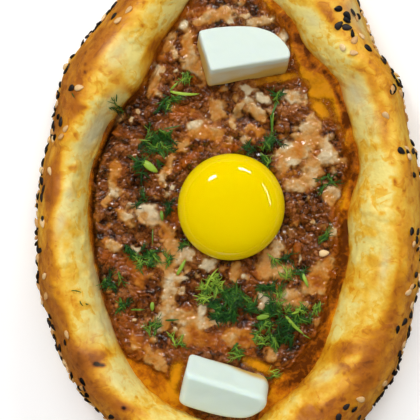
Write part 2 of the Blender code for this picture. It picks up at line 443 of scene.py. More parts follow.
class Paint:
    """A material being built: a Principled shader and the nodes that feed it."""

    def __init__(self, name: str) -> None:
        """Starts a material with its shader and output.

        Args:
            name: the material's name.
        """
        self.material = bpy.data.materials.new(name)
        self.material.use_nodes = True
        self.tree = self.material.node_tree
        self.shader = self.tree.nodes["Principled BSDF"]
        self.place = self.node("ShaderNodeTexCoord", output="Object")

    def node(
        self,
        kind: str,
        settings: Mapping[str, Any] | None = None,
        sockets: Mapping[Any, Feed] | None = None,
        output: int | str = 0,
    ) -> Value:
        """Adds a node.

        Args:
            kind: the node's type.
            settings: its own properties, which are set first; a ramp's "stops" are position and colour.
            sockets: the values or links of its input sockets, by name or number.
            output: the output socket wanted, by name or number.

        Returns:
            What that output gives.
        """
        made = self.tree.nodes.new(kind)
        for key, value in (settings or {}).items():
            if key == "stops":
                self.set_stops(made.color_ramp.elements, value)
            else:
                setattr(made, key, value)
        for key, value in (sockets or {}).items():
            self.feed(made.inputs[key], value)
        return Value(self, made.outputs[output])

    def set_stops(self, elements: Any, stops: Table) -> None:
        """Sets a ramp's elements.

        Args:
            elements: the ramp's elements, of which there are two.
            stops: a position from 0 to 1 and a display colour each.
        """
        elements[0].position, elements[1].position = stops[0][0], stops[-1][0]
        for position, *_ in stops[1:-1]:
            elements.new(position)
        for element, (_, *shade) in zip(elements, stops):
            element.color = (*srgb(*shade), 1)

    def feed(self, socket: bpy.types.NodeSocket, value: Feed) -> None:
        """Links a value to a socket, or sets the socket to it.

        Args:
            socket: the input socket.
            value: a value, a number, or a colour or other list.
        """
        if isinstance(value, Value):
            self.tree.links.new(value.socket, socket)
        elif isinstance(value, (int, float)):
            socket.default_value = value
        else:
            socket.default_value = (*value, 1) if socket.type == "RGBA" else value

    def field(self, name: str) -> Value:
        """Returns the number that the piece's points carry under this name."""
        return self.node("ShaderNodeAttribute", {"attribute_name": name}, output="Fac")

    def noise(self, size: float, detail: float = 2, rough: float = 0.5, bend: float = 0) -> Value:
        """Returns clouds from 0 to 1, this wide in metres, with finer ones added and bent out of round."""
        sockets = {"Vector": self.place, "Scale": 1 / size, "Detail": detail, "Roughness": rough}
        return self.node("ShaderNodeTexNoise", None, {**sockets, "Distortion": bend})

    def cells(self, size: float) -> Value:
        """Returns the distance to the nearest of scattered middles, counted in their spacing."""
        sockets = {"Vector": self.place, "Scale": 1 / size}
        return self.node("ShaderNodeTexVoronoi", None, sockets, "Distance")

    def ramp(self, value: Value, stops: Table) -> Value:
        """Returns the colour at a value between stops, each a position from 0 to 1 and a display colour."""
        return self.node("ShaderNodeValToRGB", {"stops": stops}, {0: value})

    def mix(self, share: Feed, first: Feed, second: Feed) -> Value:
        """Returns a colour that goes from first to second as share goes from 0 to 1."""
        settings = {"data_type": "RGBA", "clamp_factor": True}
        return self.node("ShaderNodeMix", settings, {0: share, 6: first, 7: second}, 2)

    def bump(self, height: Value, depth: float, under: Value | None = None) -> Value:
        """Returns normals tilted by a relief from 0 to 1, this deep in metres, and by those under it."""
        sockets = {"Height": height, "Distance": depth, "Strength": 1}
        return self.node("ShaderNodeBump", None, {**sockets, "Normal": under} if under else sockets)

    def finish(self, **sockets: Feed) -> bpy.types.Material:
        """Feeds the shader's sockets, named with _ for a space, and returns the material."""
        for name, value in sockets.items():
            self.feed(self.shader.inputs[name.replace("_", " ")], value)
        return self.material


class Slot(Enum):
    """Names for the material slots."""

    CRUST = "baked_crust"
    FILLING = "meat_and_cheese"
    YOLK = "egg_yolk"
    BUTTER = "butter"
    MELTED = "melted_butter"
    DILL = "dill"
    BLACK_SESAME = "black_sesame"
    WHITE_SESAME = "white_sesame"


def add_piece(
    name: str,
    shell: Shell,
    finish: bpy.types.Material,
    fields: Mapping[str, Array] | None = None,
    stands_for: Sequence[str] = (),
) -> bpy.types.Object:
    """Puts a piece into the scene, smooth, with its finish, riding on the boat.

    Args:
        name: the piece's name.
        shell: its points, quads and triangles, as closed_shell gives them.
        finish: its material.
        fields: numbers that its points carry, by name.
        stands_for: the solids that it takes the place of.

    Returns:
        The piece.
    """
    points, quads, triangles = shell
    mesh = bpy.data.meshes.new(name)
    mesh.from_pydata(points.tolist(), [], quads.tolist() + triangles.tolist())
    for key, values in (fields or {}).items():
        numbers = np.ascontiguousarray(values, np.float32)
        mesh.attributes.new(key, "FLOAT", "POINT").data.foreach_set("value", numbers)
    mesh.shade_smooth()
    mesh.materials.append(finish)
    piece = bpy.data.objects.new(name, mesh)
    bpy.context.scene.collection.objects.link(piece)
    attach(piece, "root")
    if stands_for:
        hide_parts(*stands_for)
    LOG.info("%s: %d triangles", name, 2 * len(quads) + len(triangles))
    return piece


# ---- The boat ----


@dataclass
class Boat:
    """The boat's plan and the rise of its rim, fitted to the box of the crust's solid."""

    height: float = 32 * MM

    def __post_init__(self) -> None:
        """Fits the stations to the solid's box."""
        plan = np.array(STATIONS)
        outer, inner = Curve(plan[:, :2], True), Curve(plan[:, 2:], True)
        self.count = len(STATIONS)
        edge = outer(np.linspace(0, self.count, 20 * self.count, endpoint=False))
        low, high = (np.array(corner)[:2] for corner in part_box("crust"))
        scale = (high - low) / (edge.max(0) - edge.min(0))
        shift = (high + low) / 2 - scale * (edge.max(0) + edge.min(0)) / 2
        self.outer = lambda at: outer(at) * scale + shift
        self.inner = lambda at: inner(at) * scale + shift
        self.section = Curve(RIM_SECTION, False)

    def stations(self, count: int) -> Array:
        """Spaces positions round the boat evenly along its inner and outer edge together.

        Args:
            count: how many there are.

        Returns:
            The positions, counted in stations.
        """
        closely = np.linspace(0, self.count, 40 * self.count + 1)
        steps = [np.linalg.norm(np.diff(edge(closely), axis=0), axis=1) for edge in (self.outer, self.inner)]
        length = np.concatenate(([0], np.cumsum(sum(steps))))
        return np.interp(np.linspace(0, length[-1], count, endpoint=False), length, closely)

    def crest(self, at: Array) -> Array:
        """Works out the rim's height, which is uneven, and lower at the pinched ends.

        Args:
            at: the stations.

        Returns:
            The height at each, in metres.
        """
        turn = 2 * math.pi * at / self.count
        uneven = 0.035 * np.sin(3 * turn + 0.6) + 0.025 * np.sin(7 * turn + 2.0)
        return self.height * (0.96 + uneven - 0.10 * np.abs(np.sin(turn)) ** 12)

    def rim(self, at: Array, over: Array) -> Array:
        """The rolled rim's surface: its section carried round the boat between the two edges.

        Args:
            at: the stations, one for each column.
            over: positions along the section, from 0 at the foot to 1 at the filling.

        Returns:
            The points, one row for each position over the rim.
        """
        across, rise = self.section(over * (len(RIM_SECTION) - 1)).T[..., None]
        outer, inner = self.outer(at), self.inner(at)
        return lifted(outer + (inner - outer) * across[..., None], self.crest(at) * np.maximum(rise, 0))


@dataclass
class Wall:
    """How far places on the plan lie from the rim's inner edge, and which station they face.

    The edge is read as a reach for each direction from the boat's middle. A place's gap is what is
    left of that reach, times the cosine of the edge's slant there.
    """

    boat: Boat

    def __post_init__(self) -> None:
        """Reads the edge's reach and slant all round the boat."""
        self.middle = np.array((-0.5, -1.5)) * MM
        at = np.linspace(0, self.boat.count, 40 * self.boat.count, endpoint=False)
        edge = self.boat.inner(at) - self.middle
        along = np.roll(edge, -1, 0) - np.roll(edge, 1, 0)
        reach = np.linalg.norm(edge, axis=1)
        facing = along[:, 1] * edge[:, 0] - along[:, 0] * edge[:, 1]
        cosine = facing / np.linalg.norm(along, axis=1) / reach
        turn = np.unwrap(np.arctan2(edge[:, 1], edge[:, 0]))
        self.turn = np.append(turn, turn[0] + 2 * math.pi)
        self.at = np.append(at, self.boat.count)
        self.reach = np.append(reach, reach[0])
        self.cosine = np.append(cosine, cosine[0])

    def ahead(self, turn: Array) -> Array:
        """Returns these directions in the range that the edge was read in."""
        return self.turn[0] + np.mod(turn - self.turn[0], 2 * math.pi)

    def reached(self, turn: Array) -> Array:
        """Returns the distance from the middle to the edge in these directions."""
        return np.interp(self.ahead(turn), self.turn, self.reach)

    def facing(self, plan: Array) -> tuple[Array, Array]:
        """Reads where places lie along and from the edge.

        Args:
            plan: the places.

        Returns:
            The station that each place faces, and its gap to the edge in metres.
        """
        east, north = plan[..., 0] - self.middle[0], plan[..., 1] - self.middle[1]
        turn = self.ahead(np.arctan2(north, east))
        left = np.interp(turn, self.turn, self.reach) - np.hypot(east, north)
        return np.interp(turn, self.turn, self.at), left * np.interp(turn, self.turn, self.cosine)


@dataclass(frozen=True)
class BakedDough:
    """Baked dough brushed with butter: pale yellow where it stayed soft, golden to brown where it baked."""

    browning: Table = (
        (0.05, 238, 219, 128), (0.26, 234, 186, 58), (0.46, 218, 146, 16),
        (0.66, 172, 96, 12), (0.84, 112, 54, 8), (1.0, 44, 18, 4),
    )
    cream: Colour = srgb(216, 206, 158)

    def material(self) -> bpy.types.Material:
        """Returns the material. The points' "bake" goes from 0, pale, to 1, dark; "cream" is bloom."""
        paint = Paint("baked_dough")
        mottle = paint.noise(9 * MM, 3, 0.55) - 0.5
        grain = paint.noise(1.6 * MM, 3, 0.6) - 0.5
        blotch = paint.noise(4.2 * MM, 2, 0.5, 0.8) - 0.5
        baked = paint.field("bake")
        spots = paint.noise(5.5 * MM, 3, 0.6, 1.2).eased(0.53, 0.62) * 0.17
        bake = baked + (mottle * 0.36 + blotch * 0.44 + grain * 0.28 + spots) * (1.05 - baked)
        freckle = 1 - paint.cells(5.5 * MM).eased(0.05, 0.24)
        bake = bake + freckle * (paint.noise(14 * MM, 1) - 0.32) * 0.5
        bloom = paint.field("cream") * (paint.noise(4 * MM, 2) * 0.8 + 0.6)
        skin = paint.noise(0.9 * MM, 4, 0.62)
        return paint.finish(
            Base_Color=paint.mix(bloom, paint.ramp(bake, self.browning), self.cream),
            Roughness=0.40 + grain * 0.25 + bake * 0.08,
            Normal=paint.bump(skin, 0.16 * MM, paint.bump(paint.noise(3.5 * MM, 2), 0.35 * MM)),
            Specular_IOR_Level=0.3,
            Coat_Weight=0.1,
            Coat_Roughness=0.25,
        )


@dataclass
class Crust:
    """The dough: an underside, the rolled rim, and a floor that the filling hides.

    The scorched and burnt ovals add to how brown the skin is, the blooms make it floury, and each
    shoulder is a station with how brown the outside is there and how far that reaches inwards.
    """

    boat: Boat
    columns: int = 780
    rows: int = 100
    under_rows: int = 12
    hidden_rows: int = 4
    swelling: float = 27 * MM
    wrinkle: float = 7 * MM
    blister: float = 5.2 * MM
    under_bake: float = 0.42
    hidden_bake: float = 0.7
    finish: BakedDough = BakedDough()
    scorched: Table = (
        (-65.2, 2.5, 9, 2.2, 88, 0.46), (-63, 14, 3.4, 2, 85, 0.26), (66, 27, 8, 1.6, 100, -0.24),
        (61.4, 21, 5, 1.3, 95, 0.18), (31.5, -74.5, 4, 1.8, 40, -0.26), (44, -66, 4, 1.6, 30, -0.24),
        (33, 69.5, 6, 2, -55, 0.3), (47.8, 66.5, 8, 2, -62, -0.18), (-62.6, 3, 7, 1.7, 86, 0.34),
        (-55.6, 31, 4, 3.2, 60, 0.34), (-58.6, 22, 9, 1.8, 80, 0.18), (-62.6, -29, 13, 2.8, 101, 0.3),
        (-57, -37, 6, 2, 105, 0.14), (-52, -60, 8, 4.6, -55, 0.56), (-46.5, -57.5, 4, 2.6, 0, 0.2),
        (-44.5, -71, 7, 2.8, -48, 0.44), (-39.5, -75.5, 4, 2, -30, 0.24), (-56, 43, 6, 3, 70, 0.08),
        (-45.5, 55.5, 7, 1.8, 55, 0.24), (56.4, 26, 12, 2.4, 100, 0.34), (53.5, 37, 6, 2, -65, 0.24),
        (51.5, 44.5, 5, 1.8, -60, 0.22), (62.6, 24, 10, 1.6, 98, -0.16), (37.5, 65.5, 10, 2.6, -57, 0.36),
        (47, 52.5, 6, 2.2, -52, 0.22), (45.5, 34.5, 6, 2.4, -72, -0.12), (48, -44, 7, 5, 75, 0.14),
        (52, -57, 6, 4, 60, 0.3), (35, -62.5, 7, 2, 50, 0.2), (24.5, -70.5, 6, 2, 42, 0.24),
        (57.5, -61, 6, 2.4, 62, 0.16), (27.5, -79, 7, 3, 48, 0.56), (37, -68, 6, 2.4, 30, 0.2),
        (42, -62, 4, 2, 30, 0.2), (29.5, -71.5, 6, 3.4, 40, 0.26), (-68.5, -13, 6, 2.5, 92, -0.12),
        (-66, -36, 12, 3, 103, 0.1), (-55.2, -60.8, 5, 2.4, -62, 0.12), (-47, -57, 6, 2.4, 10, 0.34),
        (-36, -76.8, 7, 2.2, -25, 0.32), (-52, -71, 9, 2.6, -50, 0.1), (-58, -27, 4.5, 3, 80, 0.16),
        (-56, -21, 3, 1.4, 0, 0.14), (-59.5, -17.5, 3, 1.2, 60, 0.12), (-57, 4, 2, 3.4, 0, 0.24),
        (-57.6, 11.2, 1.6, 1.3, 0, 0.34), (-60, -8.5, 2.5, 1.3, -40, 0.16), (-56, 22, 2.8, 1.6, 0, 0.2),
        (-52, 19.5, 2.4, 1.3, 0, 0.16), (-52.8, 33, 2.4, 0.9, 0, 0.34), (-40, 43.5, 5, 2.2, -35, 0.22),
        (-36, 39.5, 3.6, 1.8, -20, 0.4), (-46, 39, 3.6, 2.4, 0, 0.18), (-48, 47.5, 5, 1.4, 20, 0.16),
        (-52.5, 47, 6, 1.4, 60, 0.14), (-59, 37, 7, 2.6, 72, 0.12), (-51, 57, 9, 3, 50, 0.1),
        (-31.5, 47, 5, 1.6, 75, 0.34), (-29.5, 55, 5, 1.5, 60, 0.42), (-25.5, 60, 4, 1, 50, 0.3),
        (-38, 71, 6, 1.6, 40, 0.16), (23.5, 62, 6, 2.2, -60, 0.5), (25, 54, 6, 2.5, -65, 0.5),
        (28.5, 50, 5, 2, -40, 0.34), (36.4, 45, 4, 1.4, -40, 0.3), (33, 57, 4, 1.6, 0, 0.14),
        (46.5, 47.5, 3, 1.1, -25, 0.26), (27, 72, 4, 1.8, -30, 0.22), (53, 19, 4, 2, 5, 0.22),
        (54, 14, 3, 1.1, 0, 0.14), (47.5, 31, 4, 1.2, 10, 0.12), (46, -2, 6, 2.2, 85, 0.26),
        (51, -12.5, 3.6, 2, -15, 0.18), (51.5, -22.5, 3, 2.8, 0, 0.28), (46, -28, 5.5, 3.2, 70, 0.26),
        (52.5, -29, 3.4, 2.8, 0, 0.18), (48, -34, 5, 2, -15, 0.14), (49.5, -41, 4, 1.6, 80, 0.16),
        (61.5, -26, 8, 1, 82, 0.16), (60, -40, 7, 2, 75, 0.1), (57, -46.5, 5, 2.2, 50, 0.1),
        (50.5, -48.5, 3.6, 1.8, 10, 0.26), (42.5, -55, 6, 3.2, 10, 0.64), (35.5, -59, 4, 2.6, 60, 0.22),
        (41, -61, 3, 1.3, -30, 0.22), (46.5, -58.4, 3.4, 1.5, 25, -0.22), (56, -54, 8, 3, 60, 0.1),
        (51, -61, 3, 1.7, 10, 0.24), (52, -66, 5, 2.4, 25, 0.2), (45.5, -71, 10, 2.8, 28, 0.26),
        (45, -64.5, 9, 2.4, 35, 0.14), (27, -68, 6, 2, 35, 0.12), (34, -75.5, 7, 1.8, 15, 0.24),
        (19, -75.5, 8, 2.4, 50, 0.24), (33.5, -79, 4, 1.8, 10, 0.3),
    )
    burnt: Table = (
        (-48.4, -60.4, 1.2, 0.8, 0, 0.8), (-46.2, -60.9, 1.1, 0.7, 10, 0.8),
        (-38.5, -76.4, 0.7, 0.7, 0, 0.6), (-32, 63, 1, 0.7, 0, 0.4), (-31, 71.5, 0.8, 0.6, 0, 0.3),
        (-52.6, 46, 0.5, 0.4, 0, 0.5), (-35, 44, 1.3, 0.6, -30, 0.25), (43.5, 52, 0.7, 0.6, 0, 0.45),
        (39, 55, 0.6, 0.5, 0, 0.35), (30.2, 54.4, 0.7, 0.6, 0, 0.35), (60, 6.2, 0.9, 1.5, 10, 0.55),
        (59.2, 12.6, 1, 0.6, 0, 0.3), (55.4, -5.4, 1, 0.8, 0, 0.35), (-57.6, 11.2, 1.3, 1, 0, 0.22),
        (49.5, -16, 0.6, 0.5, 0, 0.3),
    )
    blooms: Table = (
        (46.5, 38.5, 5.5, 3.2, -70, 0.9), (48, 67, 7, 3.6, -58, 0.7), (30.5, 65.5, 4, 1.8, -50, 0.5),
        (-61.5, -8.5, 5, 1.8, 80, 0.6), (-58.5, 1, 5, 1.6, 85, 0.5), (-40.8, 53, 6, 3.4, 65, 0.55),
        (-48, 26, 5.5, 2.8, 55, 0.35), (-49, -48, 6, 4, 60, 0.35), (-41, -65.5, 6, 3, -35, 0.35),
        (51.5, 29, 6, 3, -60, 0.35), (-49.8, 24.5, 9, 2.4, 62, 0.9), (-49.6, -30, 9, 1.8, 100, 0.6),
        (-44.6, -47, 6, 1.6, 114, 0.5), (-42.5, 36.5, 5, 2, 45, 0.4), (56.5, -24, 7, 1.6, 82, 0.5),
        (36, -65, 5, 1.6, 35, 0.5),
    )
    shoulders: Table = (
        (0, 0.44, 0), (4, 0.44, 0), (6, 0.36, 0), (8, 0.34, 0), (10, 0.42, 0), (13, 0.48, 0),
        (16, 0.54, 0.02), (19, 0.54, 0.02), (21, 0.46, 0), (23, 0.5, 0.01), (24.5, 0.58, 0.02),
        (28, 0.6, 0.03), (31, 0.54, 0.06), (34, 0.54, 0.12), (37, 0.54, 0.12), (38.5, 0.5, 0.08),
        (40.5, 0.46, 0.02),
    )

    def relief(self, grid: Array) -> Array:
        """Works out the skin: broad swellings, wrinkles and scattered blisters.

        Args:
            grid: the rim's points.

        Returns:
            How far it stands out at each, in metres.
        """
        broad = waves(grid, self.swelling, 3, 2) * 0.9 * MM
        wrinkles = waves(grid, self.wrinkle, 11, 3) * 0.28 * MM
        rise, name = pebbles(grid, self.blister, 23)
        return broad + wrinkles + rise**2 * eased(name, 0.72, 0.95) * 0.5 * MM

    def bake(self, grid: Array, over: Array) -> Array:
        """Works out how brown each point of the rim is.

        The outer shoulder is golden to brown and reaches inwards, by the station. An edge parts it
        from the pale band along the crest, and the skin browns again at the filling. Broad clouds
        and streaks along the rim shift it, and the scorched ovals add to it. What goes past russet
        counts for less, except in the small burnt marks.

        Args:
            grid: the rim's points.
            over: each row's position over the rim, as a column.

        Returns:
            The brownness from 0 to 1.
        """
        shoulder, reach = (around(self.shoulders, self.at, column) for column in (1, 2))
        along = np.stack(np.broadcast_arrays(self.at * 2.2 * MM, over * 60 * MM, 0.0), -1)
        streak = waves(along, 5 * MM, 35, 2)
        place = over + waves(grid, 20 * MM, 31, 2) * 0.035 + streak * 0.012
        place = place - reach * eased(over, 0.2, 0.5) * (1 - eased(over, 0.62, 0.85))
        outer = np.interp(place, (0, 0.08, 0.2, 0.34), (0.9, 0.75, 0.6, 1.0)) * shoulder
        inner_places = (0.56, 0.62, 0.84, 0.92, 0.96, 0.99)
        inner = np.interp(place, inner_places, (0.22, 0.12, 0.08, 0.14, 0.24, 0.40))
        amount = outer + (inner - outer) * eased(place, 0.49, 0.60)
        amount = amount + waves(grid, 13 * MM, 41, 3) * 0.14 + streak * 0.07
        upper = eased(over, 0.28, 0.4)
        amount = amount + upper * painted(self.scorched, grid)
        amount = np.minimum(amount, 0.60 + 0.3 * (amount - 0.60))
        return amount + upper * painted(self.burnt, grid)

    def build(self) -> bpy.types.Object:
        """Builds the crust and returns it."""
        self.at = self.boat.stations(self.columns)
        over = np.linspace(0, 1, self.rows)
        rim = self.boat.rim(self.at, over)
        over = over[:, None]
        self.skin = rim + normals_of(rim) * (self.relief(rim) * eased(over, 0.0, 0.12))[..., None]
        self.skin[..., 2] = np.maximum(self.skin[..., 2], 0)
        wall = self.skin[-1:]
        under = self.skin[:1] * shares(0.04, 0.985, self.under_rows)
        middle = np.array((0.0, 0.0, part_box("filling")[0][2]))
        sunk = wall * (1, 1, 0) + middle
        down = wall + (sunk - wall) * shares(0.25, 1, self.hidden_rows)
        floor = middle + (sunk - middle) * shares(0.8, 0.1, self.hidden_rows)
        below = self.under_bake + waves(under, 18 * MM, 51, 3) * 0.16
        hidden = np.full((2 * self.hidden_rows, self.columns), self.hidden_bake)
        bake = np.concatenate((below, self.bake(self.skin, over), hidden))
        bloom = painted(self.blooms, self.skin) * eased(over, 0.3, 0.42)
        cream = np.pad(np.clip(bloom, 0, 1), ((self.under_rows, 2 * self.hidden_rows), (0, 0)))
        shell = closed_shell(np.concatenate((under, self.skin, down, floor))[None])
        fields = {"bake": spread(bake), "cream": spread(cream)}
        return add_piece("crust_baked", shell, self.finish.material(), fields, ("crust",))


# ---- The filling ----


def bent(plan: Array, size: float, seed: int, octaves: int, reach: float) -> Array:
    """Returns places on the plan moved about at random, by up to about reach."""
    return plan + on_plane(waves(plan, size, seed, octaves), waves(plan, size, seed + 1, octaves)) * reach


